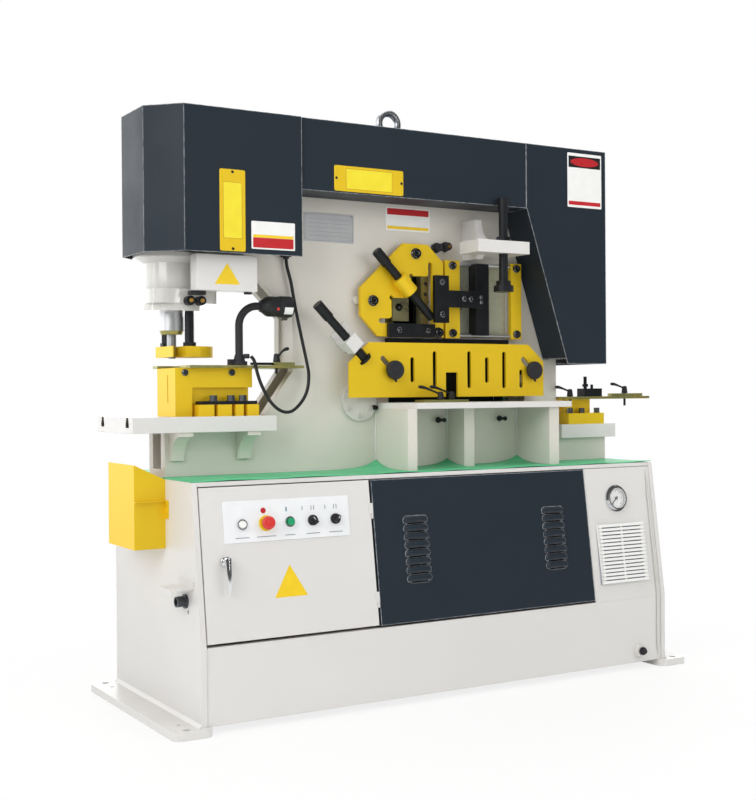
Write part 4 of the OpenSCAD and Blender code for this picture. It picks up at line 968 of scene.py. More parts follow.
@dataclass
class DeckMat:
    """The loose mat on the deck, cut round the table's legs and curled up in their inner corners."""

    half_length: float = 838.0
    front_y: float = -275.0
    frame_y: float = -44.0
    back_y: Pair = (84.0, 334.0)
    deck: float = 681.0
    thickness: float = 3.0
    legs: tuple[Leg, ...] = (Leg(-111, 34, -233, 29), Leg(162, 40, -140, 24), Leg(446, 40, -221, 26))
    gap: float = 2.0
    grid: tuple[int, int] = (240, 36)
    back_grid: tuple[int, int] = (120, 24)
    wave: float = 1.3
    wave_reach: float = 26.0
    left_reach: Pair = (38.0, 46.0)
    right_reach: Pair = (30.0, 34.0)
    right_share: float = 0.45
    bow: float = 0.5
    clearance: float = 0.4

    def _cuts(self) -> list[Point]:
        """Gives the cut-out round each leg: its left, its right and its front."""
        return [(leg.x - self.gap, leg.x + leg.width + self.gap, leg.front - self.gap) for leg in self.legs]

    def _grid(self) -> tuple[np.ndarray, np.ndarray]:
        """Gives grid lines that pass along the cut edges, as X and Y in millimetres."""
        sides = [side for cut in self._cuts() for side in cut[:2]]
        fronts = [cut[2] for cut in self._cuts()]
        x = np.concatenate([np.linspace(-self.half_length, self.half_length, self.grid[0]), sides])
        y = np.concatenate([np.linspace(self.front_y, self.frame_y, self.grid[1]), fronts])
        return np.unique(np.round(x, 3)), np.unique(np.round(y, 3))

    def _height(self, x: np.ndarray, y: np.ndarray) -> np.ndarray:
        """Gives the mat's height in millimetres.

        It lies flat, waves a little at the free edge, and rises towards each inner corner of a leg as the
        product of two decays.
        """
        wave = self.wave * (1 + np.sin(x / 41.0 + 0.7 * np.sin(x / 113.0)))
        height = wave * np.exp((self.front_y - y) / self.wave_reach)
        (left_x, left_y), (right_x, right_y) = self.left_reach, self.right_reach
        for leg, (left, right, _) in zip(self.legs, self._cuts()):
            rise = np.exp(-np.abs(left - x) / left_x) * np.exp((y - self.frame_y) / left_y)
            low = np.exp(-np.abs(x - right) / right_x) * np.exp((y - self.frame_y) / right_y)
            height = height + leg.curl * np.where(x <= left + 0.01, rise, 0.0)
            height = height + self.right_share * leg.curl * np.where(x >= right - 0.01, low, 0.0)
        return height + self.bow * np.sin(x / 87.0) * np.sin(y / 31.0)

    def make(self) -> None:
        """Builds the front sheet and the flat back sheet."""
        x, y = self._grid()
        gx, gy = np.meshgrid(x, y, indexing="ij")
        top = self.deck + self.thickness + np.maximum(self._height(gx, gy), 0)
        points = np.stack([gx, gy, top], axis=-1) * MM
        middle_x, middle_y = (x[1:] + x[:-1]) / 2, (y[1:] + y[:-1]) / 2
        keep = np.ones((len(middle_x), len(middle_y)), bool)
        for left, right, cut_front in self._cuts():
            keep &= ~(((middle_x > left) & (middle_x < right))[:, None] & (middle_y > cut_front)[None, :])
        mat = build("deck_mat_front", [(Shape.lattice(points, keep=keep), MAT)],
                    ["deck_mat"], closed=False)
        self._thicken(mat)
        x = np.linspace(-self.half_length, self.half_length, self.back_grid[0])
        gx, gy = np.meshgrid(x, np.linspace(*self.back_y, self.back_grid[1]), indexing="ij")
        top = self.deck + self.thickness + self.bow * np.maximum(np.sin(gx / 61.0) * np.sin(gy / 43.0), 0)
        back = build("deck_mat_back", [(Shape.lattice(np.stack([gx, gy, top], axis=-1) * MM), MAT)],
                     closed=False)
        self._thicken(back)

    def _thicken(self, sheet: bpy.types.Object) -> None:
        """Gives a sheet its thickness below the made surface."""
        wall = sheet.modifiers.new("wall", "SOLIDIFY")
        wall.thickness = (self.thickness - self.clearance) * MM
        wall.offset = -1.0


@dataclass
class WorkLamp:
    """The lamp's head: a stepped bell with its lens, red switch and a bare sticker."""

    start_x: float = -533.0
    axis_y: float = -78.0
    axis_z: float = 1185.0
    bell: Profile = (
        (0, -1), (14, -1), (17.5, 1), (20, 8), (27, 18), (30, 24), (30.5, 29), (30.5, 58), (29.5, 60.5), (32, 63),
        (32.5, 67), (32.5, 98), (30, 103), (28.8, 102.5), (28, 88), (0, 88),
    )
    lens: Profile = ((0, 88.5), (27.8, 88.5), (26.8, 91), (16, 94), (0, 95))
    switch: Point = (46.0, -16.0, 30.5)
    ring: Profile = ((0, -2), (6.5, -2), (6.5, 1.2), (5.6, 1.6), (0, 1.6))
    button: Profile = ((0, 1), (4.6, 1), (4.4, 3.2), (0, 3.6))

    def make(self) -> None:
        """Turns the head about its axis and sets the small parts on its side."""
        axis = sideways(self.start_x, self.axis_y, self.axis_z)
        build("lamp_bell", [(lathe(self.bell, axis, 64, 1.6), GRIP), (lathe(self.lens, axis, 48), LENS)],
              ["lamp_head"])
        along, turn, reach = self.switch
        angle = math.radians(turn)
        normal = np.array([0.0, -math.cos(angle), math.sin(angle)])
        middle = mm(self.start_x + along, self.axis_y, self.axis_z) + reach * MM * normal
        place = Placement(tuple(middle), (1, 0, 0), (0, math.sin(angle), math.cos(angle)))
        build("lamp_switch", [(lathe(self.ring, place, 32, 0.4), BLACK), (lathe(self.button, place, 32, 0.5), RED)])
        sticker = self._patch((68, 97), (-46, -6), (32.55, 32.8))
        build("lamp_sticker", [(sticker, PRINT_WHITE)])

    def _patch(self, span: Pair, turn: Pair, reach: Pair) -> Shape:
        """Bends a rectangle round the bell.

        Args:
            span: Its two ends along the bell, in millimetres.
            turn: Its two edges in degrees from the front.
            reach: Its inner and outer radius, in millimetres.

        Returns:
            The closed patch.
        """
        rows, steps = 6, 14
        along = self.start_x + np.linspace(*span, rows)[:, None]
        angle = np.radians(np.linspace(*turn, steps))
        ring = np.concatenate([angle, angle[::-1]])
        radius = np.repeat(reach[::-1], steps)
        local = np.stack(np.broadcast_arrays(along, self.axis_y - radius * np.cos(ring),
                                             self.axis_z + radius * np.sin(ring)), axis=-1) * MM
        shape = Shape.lattice(local, (False, True))
        count = 2 * steps
        shape.caps = [np.arange(count)[::-1], np.arange(count) + (rows - 1) * count]
        return shape


@dataclass
class Controls:
    """What sits on the control plate and the door: the stop's cap, selector marks, printed marks, the handle."""

    plate: float = 4.0
    stop: int = 1
    start: int = 2
    selectors: tuple[tuple[int, Body, float], ...] = (
        (3, Body.SELECTOR_LEFT, 40.0), (4, Body.SELECTOR_RIGHT, -40.0),
    )
    cap: Profile = (
        (0, -4), (5.9, -4), (5.9, 19), (15, 19), (17, 16.2), (19.0, 18), (19.0, 25), (18, 30), (13, 33), (0, 34.2),
    )
    captions: tuple[float, ...] = (42, 60, 32, 44, 44)
    caption_below: float = -37
    mark_above: float = 36
    selector_marks: Profile = ((-31, 12), (-2, 13), (6, 13))
    handle: Pair = (-756, 225)
    boss: Profile = (
        (0, -8), (7, -8), (7, 2.3), (15, 2.4), (15.6, 5), (14.5, 13), (9.5, 15), (9.5, 22), (0, 22),
    )
    lever: tuple[Point, ...] = (
        (0, 9, 24), (0, 3, 25.5), (0, -14, 26.5), (0, -40, 27), (0, -66, 25.5), (0, -92, 22),
    )

    def make(self) -> None:
        """Builds the stop's cap, the pointer lines, the plain marks and the handle."""
        cap = lathe(self.cap, CONTROL_ROW.place(self.stop), 64, 2.0)
        build("estop_cap", [(cap, RED)], ["estop_button"], Body.ESTOP)
        line = rectangle(1.8, 10, 0.6) + np.array([0, 5.4])
        for number, body, turn in self.selectors:
            place = CONTROL_ROW.place(number).turned(turn)
            build(f"selector_line_{number}", [(slab(line, 26.2, 26.7, place, 0.1), PRINT_WHITE)],
                  body=body)
        self._marks()
        self._handle()

    def _print(self, outline: np.ndarray, place: Placement) -> Shape:
        """Raises a printed mark a hair out of the plate."""
        return slab(outline, self.plate + 0.02, self.plate + 0.16, place, 0.04)

    def _marks(self) -> None:
        """Prints plain bars under the controls and plain shapes over them."""
        parts: Parts = []
        for number, width in enumerate(self.captions):
            place = CONTROL_ROW.place(number, above=self.caption_below)
            parts.append((self._print(rectangle(width, 2.4, 0.8), place), PRINT_GREY))
        dot = CONTROL_ROW.place(self.stop, -6, self.mark_above)
        parts.append((self._print(oval(8.2, 8.2, 40), dot), PRINT_RED))
        bar = CONTROL_ROW.place(self.start, -8, self.mark_above)
        parts.append((self._print(rectangle(4, 13, 1), bar), PRINT_BLUE))
        for number, _, _ in self.selectors:
            for shift, height in self.selector_marks:
                place = CONTROL_ROW.place(number, shift, self.mark_above)
                parts.append((self._print(rectangle(2.6, height, 0.8), place), PRINT_GREY))
        build("control_marks", parts, body=Body.DOOR)

    def _handle(self) -> None:
        """Builds the lever handle: a turned boss and a tapering lever that hangs from it."""
        place = SLOPE.place(*self.handle)
        path = place.at(flowing(np.array(self.lever, float), 8) * MM)
        count = len(path)
        t = np.linspace(0, 1, count)
        round_off = domed(count, 0.12)
        width = (11.5 - 5.5 * t) * round_off * MM
        height = (7.5 - 3.2 * t) * round_off * MM
        lever = sweep(path, width, height, place.out, 24)
        build("door_lever", [(lathe(self.boss, place, 48, 1.4), CHROME), (lever, CHROME)],
              ["door_handle"], Body.HANDLE)


@dataclass
class PressureGauge:
    """The gauge's white dial with its scale, the glass and the flange screws."""

    x: float = 667.0
    along: float = 330.0
    dial_radius: float = 33.6
    ticks: int = 31
    scale: Pair = (-45.0, 225.0)
    screw_circle: float = 41.0

    def make(self) -> None:
        """Builds the dial, its scale marks, the glass and three screws."""
        place = SLOPE.place(self.x, self.along)
        r = self.dial_radius
        parts = [(lathe([(0, -0.95), (r, -0.95), (r, -0.3), (0, -0.3)], place, 64, 0.1), PRINT_WHITE)]
        for number, degrees in enumerate(np.linspace(*self.scale, self.ticks)):
            mark = place.turned(degrees)
            length, width, inset = (8, 1.3, 8) if number % 5 == 0 else (4, 0.7, 6)
            line = rectangle(length, width, 0.2) + np.array([r - inset, 0])
            parts.append((slab(line, -0.3, -0.18, mark, 0.02), PRINT_BLACK))
        build("gauge_dial", parts)
        glass = [(0, 7.4), (r, 7.4), (r, 8.2), (r * 0.6, 9.3), (0, 9.8)]
        build("gauge_glass", [(lathe(glass, place, 64, 1.0), GLASS)])
        screws: Parts = []
        for degrees in (90, 210, 330):
            angle = math.radians(degrees)
            spot = SLOPE.place(self.x + self.screw_circle * math.cos(angle),
                               self.along + self.screw_circle * math.sin(angle))
            screws += screw_head(spot, 2.6, 2.0, CHROME)
        build("gauge_screws", screws)


def screw_head(place: Placement, radius: float, proud: float, finish: Finish) -> Parts:
    """Makes a domed screw head with a dark driving recess.

    Args:
        place: The middle of its seat.
        radius: The head's radius in millimetres.
        proud: Where the seat lies, in millimetres out of the place.
        finish: The head's finish.

    Returns:
        The head and its recess.
    """
    dome = [(0, proud - 1.2), (radius, proud - 1.2), (radius, proud + 0.3 * radius),
            (radius * 0.6, proud + 0.62 * radius), (0, proud + 0.7 * radius)]
    hollow = [(0, proud + 0.5 * radius), (radius * 0.34, proud + 0.5 * radius),
              (radius * 0.34, proud + 0.72 * radius), (0, proud + 0.72 * radius)]
    return [(lathe(dome, place, 28, 0.3 * radius), finish), (lathe(hollow, place, 6, 0.02), BLACK)]


class Layout(Enum):
    """How the colour fields of a bare sticker are laid out."""

    BAND_BELOW = "band below"
    BAND_ABOVE = "band above"
    BANDS_BOTH = "bands above and below"


@dataclass(frozen=True)
class Sticker:
    """A bare sticker: its middle on an upright face, its size, and its colour fields."""

    name: str
    middle: Point
    size: Pair
    layout: Layout

    def parts(self) -> Parts:
        """Lays the white ground and its plain bands."""
        place = front(*self.middle)
        width, height = self.size
        made = [(slab(rectangle(width, height, 4), 0.05, 0.35, place, 0.1), PRINT_WHITE)]
        inner = width - 10

        def field_at(share: float, middle: float, finish: Finish) -> None:
            """Adds a band that takes a share of the height, about a middle from -0.5 to 0.5."""
            outline = rectangle(inner, height * share, 2) + np.array([0, middle * height])
            made.append((slab(outline, 0.3, 0.5, place, 0.05), finish))

        if self.layout is Layout.BAND_BELOW:
            field_at(0.36, -0.265, PRINT_RED)
            field_at(0.10, -0.03, PRINT_YELLOW)
        elif self.layout is Layout.BAND_ABOVE:
            field_at(0.21, 0.34, PRINT_BLACK)
            badge = oval(0.44 * inner, 0.08 * height, 48) + np.array([0, 0.34 * height])
            made.append((slab(badge, 0.45, 0.6, place, 0.05), PRINT_RED))
            field_at(0.07, -0.42, PRINT_RED)
        else:
            field_at(0.27, 0.31, PRINT_RED)
            field_at(0.13, -0.37, PRINT_YELLOW)
        return made


@dataclass
class LabelPlates:
    """The screwed plates, bare stickers, the riveted nameplate and the plain triangles."""

    plates: tuple[tuple[str, Point, Pair], ...] = (
        ("head_plate", (-666, -180, 1450), (80, 234)),
        ("beam_plate", (-206, -172, 1571.5), (244, 77)),
    )
    stickers: tuple[Sticker, ...] = (
        Sticker("head_sticker", (-536.5, -180, 1383.5), (141, 81), Layout.BAND_BELOW),
        Sticker("cover_sticker", (642, -172, 1636.5), (148, 183), Layout.BAND_ABOVE),
        Sticker("frame_sticker", (15, -42, 1481.5), (168, 75), Layout.BANDS_BOTH),
    )
    nameplate: Point = (-276.5, -42, 1438)
    nameplate_size: Pair = (177, 90)
    rivet: Profile = ((0, 0), (3.2, 0), (3.2, 1.8), (1.6, 3), (0, 3.2))

    def make(self) -> None:
        """Builds them all."""
        for name, middle, size in self.plates:
            self._screwed(name, middle, size)
        for sticker in self.stickers:
            build(sticker.name, sticker.parts())
        self._nameplate()
        door = SLOPE.place(-559, 113, 2.0)
        build("door_field", [(self._triangle(door, 104, 90), PRINT_YELLOW)], body=Body.DOOR)
        box = front(-666, -140, 1241)
        build("box_field", [(self._triangle(box, 80, 62), PRINT_YELLOW)])

    def _screwed(self, name: str, middle: Point, size: Pair) -> None:
        """Builds a yellow plate with a printed border and two screws at its far ends."""
        place = front(*middle)
        width, height = size
        parts = [(slab(rectangle(width, height, 6), 0.05, 1.6, place, 0.5), YELLOW)]
        upright = height > width
        shrink = np.array([20, 72] if upright else [80, 14])
        border = rectangle(width - shrink[0], height - shrink[1], 2)
        parts.append((slab(border, 1.5, 1.68, place, 0.04), PRINT_LEMON))
        parts.append((band(border, 1.3, 1.5, 1.75, place), PRINT_BROWN))
        reach = max(width, height) / 2 - 7
        for side in (-1, 1):
            offset = mm(0, side * reach, 0) if upright else mm(side * reach, 0, 0)
            parts += screw_head(Placement(tuple(place.at(offset))), 4.2, 1.6, BLACKENED)
        build(name, parts)

    def _nameplate(self) -> None:
        """Builds the etched plate with ruled lines and four rivets."""
        place = front(*self.nameplate)
        width, height = self.nameplate_size
        parts = [(slab(rectangle(width, height, 3), 0.05, 1.2, place, 0.3), ALUMINIUM)]
        parts.append((band(rectangle(width - 8, height - 8, 2), 0.8, 1.1, 1.28, place), PRINT_GREY))
        for row in np.linspace(-26, 26, 5):
            line = rectangle(width - 34, 0.7, 0.2) + np.array([0, row])
            parts.append((slab(line, 1.1, 1.28, place, 0.02), PRINT_GREY))
        for side in (-1, 1):
            for end in (-1, 1):
                spot = place.at(mm(side * (width / 2 - 8), end * (height / 2 - 8), 0))
                parts.append((lathe(self.rivet, Placement(tuple(spot)), 20), ALUMINIUM))
        build("nameplate", parts)

    @staticmethod
    def _triangle(place: Placement, width: float, height: float) -> Shape:
        """Lays a plain three-cornered field on a place, its base on the place's line."""
        outline = soften(np.array([[-width / 2, 0], [width / 2, 0], [0, height]]), 3, 5, closed=True)
        return slab(outline, 0.03, 0.25, place, 0.05)


@dataclass
class GuardKnobs:
    """The two clamp knobs of the sliding guard: a turned head with a ringed face and a pointing nib."""

    places: tuple[tuple[str, Body, float, float], ...] = (
        ("knob_left", Body.KNOB_LEFT, -83.0, 995.0),
        ("knob_right", Body.KNOB_RIGHT, 467.0, 995.0),
    )
    seat_y: float = -102.3
    profile: Profile = (
        (0, -72.3), (7.7, -72.3), (7.7, -60), (14, -60), (14, -8.6), (7.7, -8.6), (7.7, 0), (15, 0), (15, 5.5),
        (28, 6), (30, 8.5), (30, 19), (27.5, 23.5), (21, 24), (19.5, 22.8), (11, 22.8), (10, 23.6), (0, 23.8),
    )

    def make(self) -> None:
        """Turns each knob and lofts its nib."""
        for node, body, x, z in self.places:
            place = front(x, self.seat_y, z)
            nib = np.array([(0, -26, 14), (1.5, -31, 14), (3, -35, 13.5), (4.5, -38.5, 13)], float)
            path = place.at(flowing(nib, 5) * MM)
            taper = np.linspace(1, 0.35, len(path)) * domed(len(path), 0.25)
            loft = sweep(path, 6.5 * taper * MM, 6 * taper * MM, place.out, 16)
            build(f"{node}_grip", [(lathe(self.profile, place, 72, 1.1), BLACK), (loft, BLACK)],
                  [node], body)


@dataclass(frozen=True)
class ClampLever:
    """A clamping lever: stud, tapered hub and a flattened arm that rises away from it."""

    node: str
    body: Body
    seat: Point
    down: float
    length: float
    rise: float
    heading: float = -1.0

    def make(self) -> None:
        """Turns the stud and hub and sweeps the arm from the hub's top."""
        place = upward(*self.seat)
        hub = [(0, -self.down), (4.2, -self.down), (4.2, 0.3), (10.5, 0.3), (11, 3), (9, 17), (8.4, 23), (6, 26),
               (0, 26.6)]
        h = self.heading
        points = np.array([(h * -3, 0, 19), (h * 8, 0, 20.5), (h * self.length * 0.45, 0, 18.5 + self.rise * 0.5),
                           (h * self.length * 0.8, 0, 18.5 + self.rise * 0.86),
                           (h * (self.length + 6), 0, 18 + self.rise)], float)
        path = place.at(flowing(points, 8) * MM)
        count = len(path)
        t = np.linspace(0, 1, count)
        swell = 1 - 0.42 * np.sin(np.pi * np.clip(t * 1.25, 0, 1)) + 0.1 * t
        round_off = domed(count, 0.1)
        arm = sweep(path, 7.2 * swell * round_off * MM, 4.9 * swell * round_off * MM, (0, 0, 1), 18)
        build(f"{self.node}_arm", [(lathe(hub, place, 40, 1.2), GRIP), (arm, GRIP)],
              [self.node], self.body)


LEVERS = (
    ClampLever("table_lever_left", Body.TABLE_LEVER_LEFT, (61, -156, 900), 24, 78, 24),
    ClampLever("table_lever_right", Body.TABLE_LEVER_RIGHT, (121, -130, 900), 24, 78, 24),
    ClampLever("fence_lever", Body.FENCE_LEVER, (-474, -68, 1018), 34, 36, 24, 1.0),
    ClampLever("notch_lever_left", Body.NOTCH_LEVER_LEFT, (665, -60, 905), 24, 58, 16),
    ClampLever("notch_lever_right", Body.NOTCH_LEVER_RIGHT, (915, -60, 915), 44, 58, 16),
)


@dataclass
class SmallHardware:
    """Cover screws, the bolts under the shear table, and the nipple beside the pivot's cap."""

    cover_screws: tuple[Point, ...] = (
        (424, -172, 1492), (501, -172, 1238), (556, -172, 1062),
    )
    table_bolts: Profile = ((126, 833), (373, 834))
    bolt_y: float = -60.0
    nipple: Point = (-122, -55, 877)
    frame_y: float = -42.0

    def make(self) -> None:
        """Builds the screws, bolts and the nipple."""
        parts: Parts = []
        for spot in self.cover_screws:
            parts += screw_head(front(*spot), 3.6, 0.2, BLACKENED)
        build("cover_screws", parts)
        bolt = [(0, -18), (7, -18), (7, -9), (4, -7), (4, 7), (7, 9), (7, 16), (0, 16)]
        foot = [(0, -1), (10, -1), (10, 3), (5, 4), (5, 20), (0, 20)]
        parts = []
        for x, z in self.table_bolts:
            parts += [(lathe(bolt, sideways(x, self.bolt_y, z), 32, 1.0), BLACKENED),
                      (lathe(foot, front(x, self.frame_y, z), 32, 0.8), BLACKENED)]
        build("table_bolts", parts)
        nipple = [(0, -9), (6, -9), (7.5, -7), (7.5, 2), (5, 4), (5, 9), (0, 9.5)]
        stub = [(0, -1), (6, -1), (6, 12), (0, 12)]
        x, y, z = self.nipple
        build("pivot_nipple", [(lathe(nipple, sideways(x, y, z), 28, 0.8), BLACKENED),
                               (lathe(stub, front(x, self.frame_y, z), 28, 0.6), BLACKENED)])


@dataclass
class ShearDetails:
    """What shows through the shears' openings: a dark sheet of painted shade behind the guard, the section blades
    and their bolts.
    """

    frame_y: float = -42.0
    shade_sheet: Pair = (191, 984)
    shade_sheet_size: Pair = (506, 128)
    block: Pair = (-10, 1192)
    block_size: Pair = (62, 76)
    block_bolt: Pair = (-18, 1199)
    blade: Pair = (79, 1202)
    blade_size: Pair = (24, 186)
    blade_bolts: Profile = ((80, 1277), (80, 1243), (80, 1196))
    boss: Pair = (-181, 1216)

    def _place(self, spot: Pair, back: float = 0.0) -> Placement:
        """Places a spot on the frame's front, or some millimetres behind it."""
        return front(spot[0], self.frame_y + back, spot[1])

    def make(self) -> None:
        """Builds the painted shade sheet, the plated block with its bolt, the blade with three bolts and a boss."""
        # A thin black sheet on the frame is painted shade for the dark opening behind the flat-bar guard.
        sheet = slab(rectangle(*self.shade_sheet_size, 3), 0.05, 1.2, self._place(self.shade_sheet), 0.3)
        build("painted_guard_shade", [(sheet, BLACKENED)])
        block = slab(rectangle(*self.block_size, 2), -6, 4, self._place(self.block, 12), 0.8)
        blade = slab(rectangle(*self.blade_size, 1), -6, 2, self._place(self.blade, 4), 0.6)
        parts = [(block, PLATED_BLADE), *screw_head(self._place(self.block_bolt, 8), 12.5, 0.2, SOCKET)]
        parts.append((blade, BLADE))
        for spot in self.blade_bolts:
            parts += screw_head(self._place(spot, 2), 6.5, 0.2, SOCKET)
        build("section_blades", parts)
        boss = [(0, -1), (14, -1), (14, 9), (12, 11), (0, 11.5)]
        build("frame_boss", [(lathe(boss, self._place(self.boss), 40, 1.2), FRAME)])


@dataclass
class LimitBox:
    """The plain folded box under the head cover, with its bracket and the fittings below it."""

    middle: Point = (-665.5, -140.0, 1274.5)
    size: Pair = (191.0, 105.0)
    depth: float = 46.0
    bracket: Point = (-630, -68, 1327)
    bracket_size: Pair = (60, 90)
    foot: Point = (-747, -124, 1215.8)
    clip: Point = (-590, -124, 1218.9)

    def make(self) -> None:
        """Builds the box with its bracket, and the dark fittings."""
        body = slab(rectangle(*self.size, 1.5), -self.depth, 0, front(*self.middle), 0.8)
        bracket = slab(rectangle(*self.bracket_size, 1), -0.5, 7.8, upward(*self.bracket), 0.3)
        build("limit_box", [(body, GREY), (bracket, GREY)], ["limit_switch_box"])
        foot = slab(rectangle(48, 12, 3), -28, -6, front(*self.foot), 0.8)
        clip = slab(rectangle(20, 6, 1), -14, 0, front(*self.clip), 0.4)
        build("box_fittings", [(foot, BLACK), (clip, BLACK)])


@dataclass
class PanelBead:
    """The rounded fold at the right end of the base's front, from the deck down to the foot."""

    x: float = 809.0
    top: float = 428.0
    drop: float = 205.0
    radius: float = 5.0
    bend: float = 0.03
    steps: int = 5

    def make(self) -> None:
        """Sweeps a half-sunk bead down the slope and the upright part."""
        fold = np.asarray(SLOPE.place(self.x, 0).origin)
        corners = [SLOPE.place(self.x, self.top).origin, fold, fold + mm(0, 0, -self.drop)]
        line = soften(corners, self.bend, 12)
        spans = [np.linspace(a, b, self.steps + 1)[:-1] for a, b in zip(line[:-1], line[1:])]
        path = np.vstack([*spans, line[-1:]])
        radius = self.radius * domed(len(path), self.bend) * MM
        build("panel_bead", [(sweep(path, radius, radius * 0.5, (0, -1, 0.1), 16), CAST)])


@dataclass
class WeldBeads:
    """Rippled fillet welds where the table's legs meet the frame."""

    legs: tuple[float, ...] = (-111.0, -77.0, 162.0, 202.0, 446.0, 486.0)
    face_y: float = -42.0
    span: Pair = (684.0, 872.0)
    radius: float = 5.5
    ripple: float = 3.4

    def make(self) -> None:
        """Sweeps a bead up each corner, its radius swelling at each ripple."""
        parts: Parts = []
        z = np.linspace(*self.span, 220)
        for number, x in enumerate(self.legs):
            path = np.column_stack([np.full_like(z, x), np.full_like(z, self.face_y), z]) * MM
            swell = 1 + 0.10 * np.abs(np.sin(np.pi * z / self.ripple + number)) + 0.05 * np.sin(z / 17.0 + number)
            radius = self.radius * swell * domed(len(z), 0.02) * MM
            parts.append((sweep(path, radius, radius, (0, 1, 0), 14), CAST))
        build("leg_welds", parts)


@dataclass(frozen=True)
class Lamp:
    """A soft lamp: its place, its width and height in metres, its watts, and whether shiny faces mirror it."""

    name: str
    place: Point
    size: Pair
    power: float
    mirrored: bool = True


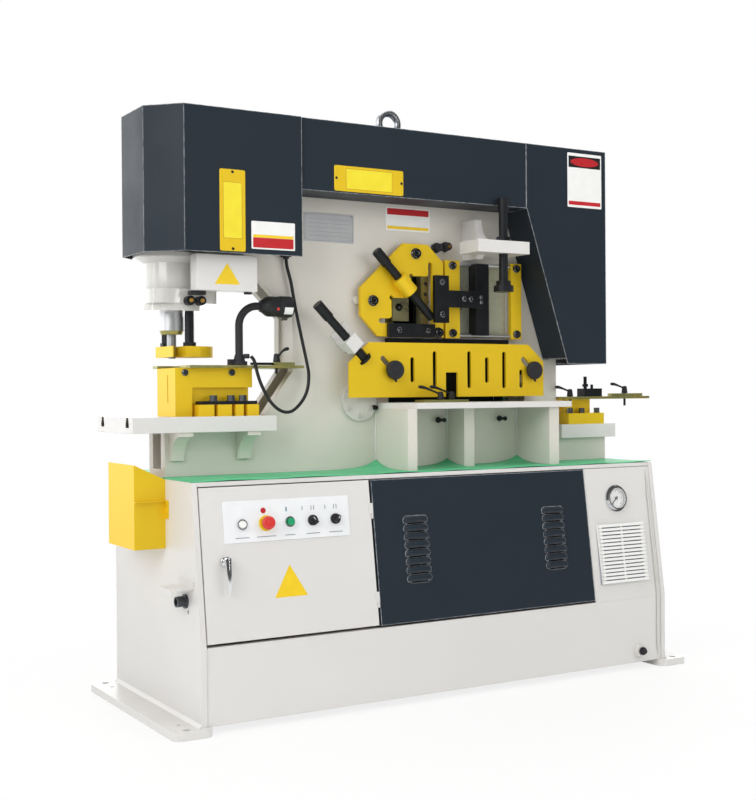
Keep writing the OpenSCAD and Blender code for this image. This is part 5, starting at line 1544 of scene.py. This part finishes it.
@dataclass
class Studio:
    """The camera at the photograph's view, the pale floor and soft lights."""

    image: tuple[int, int] = (756, 800)
    focal: float = 1278.7
    heading: float = 30.85
    pitch: float = -0.392
    roll: float = 0.414
    eye: Point = (-2.1920, -3.5399, 0.9285)
    sensor: float = 36.0
    lights: tuple[Lamp, ...] = (
        Lamp("key", (-4.6, -2.5, 3.1), (3.0, 3.0), 130.0),
        Lamp("fill", (3.6, -5.0, 2.8), (3.4, 3.4), 92.0, mirrored=False),
        Lamp("top", (0.0, -0.6, 4.6), (3.6, 3.6), 70.0),
        Lamp("back", (1.5, 4.4, 3.2), (3.0, 3.0), 45.0),
        Lamp("left_strip", (-4.8, 0.6, 1.9), (0.14, 2.2), 12.0),
        Lamp("front_strip", (0.65, -3.9, 2.0), (0.14, 2.2), 8.0),
    )
    target: Point = (0.0, 0.0, 0.9)
    sky: float = 0.44
    floor_rings: tuple[float, ...] = (0.0, 1.0, 2.0, 4.0, 9.0)
    floor_z: float = -0.0005
    shadow: tuple[float, float, float, float] = (0.9, 1.7, 0.8, 1.0)
    mirrored: tuple[float, float, float, float] = (-0.40, 0.60, 0.10, 2.0)

    def make(self) -> None:
        """Sets the camera, the lights, the sky and the floor."""
        self._camera()
        target = Vector(self.target)
        for light in self.lights:
            data = bpy.data.lights.new(light.name, "AREA")
            data.shape = "RECTANGLE"
            data.size, data.size_y = light.size
            data.energy = light.power
            lamp = bpy.data.objects.new(light.name, data)
            lamp.location = light.place
            lamp.rotation_euler = (target - Vector(light.place)).to_track_quat("-Z", "Y").to_euler()
            lamp.visible_glossy = light.mirrored
            bpy.context.collection.objects.link(lamp)
        self._sky()
        self._floor()
        bpy.context.scene.view_settings.view_transform = "Standard"

    def _camera(self) -> None:
        """Turns the photograph's measured heading, pitch and roll into a camera."""
        psi, tilt, roll = (math.radians(a) for a in (self.heading, self.pitch, self.roll))
        ahead = np.array([math.sin(psi) * math.cos(tilt), math.cos(psi) * math.cos(tilt), math.sin(tilt)])
        level = np.array([math.cos(psi), -math.sin(psi), 0.0])
        down = np.cross(ahead, level)
        right = math.cos(roll) * level + math.sin(roll) * down
        below = -math.sin(roll) * level + math.cos(roll) * down
        data = bpy.data.cameras.new("camera")
        data.lens = self.focal * self.sensor / max(self.image)
        data.sensor_width = self.sensor
        camera = bpy.data.objects.new("camera", data)
        turn = np.eye(4)
        turn[:3, 0], turn[:3, 1], turn[:3, 2], turn[:3, 3] = right, -below, -ahead, self.eye
        camera.matrix_world = Matrix(turn.tolist())
        bpy.context.collection.objects.link(camera)
        bpy.context.scene.camera = camera

    @staticmethod
    def _seen(tree: bpy.types.NodeTree, kinds: Sequence[str]) -> bpy.types.NodeSocket:
        """Gives 1 for rays of any of the named kinds."""
        path = tree.nodes.new("ShaderNodeLightPath")
        total = path.outputs[kinds[0]]
        for kind in kinds[1:]:
            largest = tree.nodes.new("ShaderNodeMath")
            largest.operation = "MAXIMUM"
            tree.links.new(total, largest.inputs[0])
            tree.links.new(path.outputs[kind], largest.inputs[1])
            total = largest.outputs[0]
        return total

    def _sky(self) -> None:
        """Makes a world that lights softly, shows pure white and mirrors a dim room on the control side."""
        world = bpy.data.worlds.new("studio")
        world.use_nodes = True
        bpy.context.scene.world = world
        tree = world.node_tree
        tree.nodes.clear()
        soft, room, white = (tree.nodes.new("ShaderNodeBackground") for _ in range(3))
        soft.inputs["Strength"].default_value = self.sky
        direction = tree.nodes.new("ShaderNodeTexCoord").outputs["Generated"]
        split = tree.nodes.new("ShaderNodeSeparateXYZ")
        tree.links.new(direction, split.inputs[0])
        depth = tree.nodes.new("ShaderNodeMapRange")
        for name, value in zip(("From Min", "From Max", "To Min", "To Max"), self.mirrored):
            depth.inputs[name].default_value = value
        tree.links.new(split.outputs["Y"], depth.inputs["Value"])
        tree.links.new(depth.outputs[0], room.inputs["Strength"])
        output = tree.nodes.new("ShaderNodeOutputWorld")
        shader = soft.outputs[0]
        for kinds, ground in ((["Is Glossy Ray"], room), (["Is Camera Ray", "Is Transmission Ray"], white)):
            ground.inputs["Color"].default_value = (1, 1, 1, 1)
            mix = tree.nodes.new("ShaderNodeMixShader")
            tree.links.new(self._seen(tree, kinds), mix.inputs[0])
            tree.links.new(shader, mix.inputs[1])
            tree.links.new(ground.outputs[0], mix.inputs[2])
            shader = mix.outputs[0]
        soft.inputs["Color"].default_value = (1, 1, 1, 1)
        tree.links.new(shader, output.inputs["Surface"])

    def _floor(self) -> None:
        """Makes a round floor that keeps the shadow near the machine and turns white further out."""
        disc = [np.column_stack([oval(ring, ring, 64), np.full(64, self.floor_z)]) for ring in self.floor_rings]
        shape = Shape.lattice(np.stack(disc), (False, True))
        mesh = bpy.data.meshes.new("floor")
        mesh.from_pydata(shape.points.tolist(), [], shape.faces(0))
        floor = bpy.data.objects.new("floor", mesh)
        bpy.context.collection.objects.link(floor)
        wiring = Wiring("pale_floor")
        wiring.put(Base_Color=linear("f4f4f2"), Roughness=0.6)
        tree = wiring.tree
        glow = wiring.add("ShaderNodeEmission", {"Color": (1, 1, 1, 1), "Strength": 1.0})
        length = wiring.add("ShaderNodeVectorMath", {0: wiring.coords}, operation="LENGTH").outputs["Value"]
        far = wiring.span(length, *self.shadow)
        seen = self._seen(tree, ["Is Camera Ray", "Is Glossy Ray", "Is Transmission Ray"])
        share = wiring.times(seen, far)
        mix = wiring.add("ShaderNodeMixShader", {0: share, 1: wiring.shader.outputs[0], 2: glow.outputs[0]})
        output = next(n for n in tree.nodes if n.type == "OUTPUT_MATERIAL")
        tree.links.new(mix.outputs[0], output.inputs["Surface"])
        mesh.materials.append(wiring.material)


def main() -> None:
    """Builds the studio, the soft pieces, the finishes and the details, in that order."""
    logging.basicConfig(level=logging.INFO, format="%(name)s: %(message)s")
    makers: Sequence[Callable[[], None]] = (
        Studio().make, LampCable().make, DeckMat().make, NodeSkin().dress, ControlPlateRegions().dress,
        *(region.dress for region in SLOPE_REGIONS),
        WorkLamp().make, Controls().make, PressureGauge().make, LabelPlates().make, GuardKnobs().make,
        *(lever.make for lever in LEVERS), SmallHardware().make, ShearDetails().make,
        LimitBox().make, PanelBead().make, WeldBeads().make,
    )
    for make in makers:
        make()


if __name__ == "__main__":
    main()
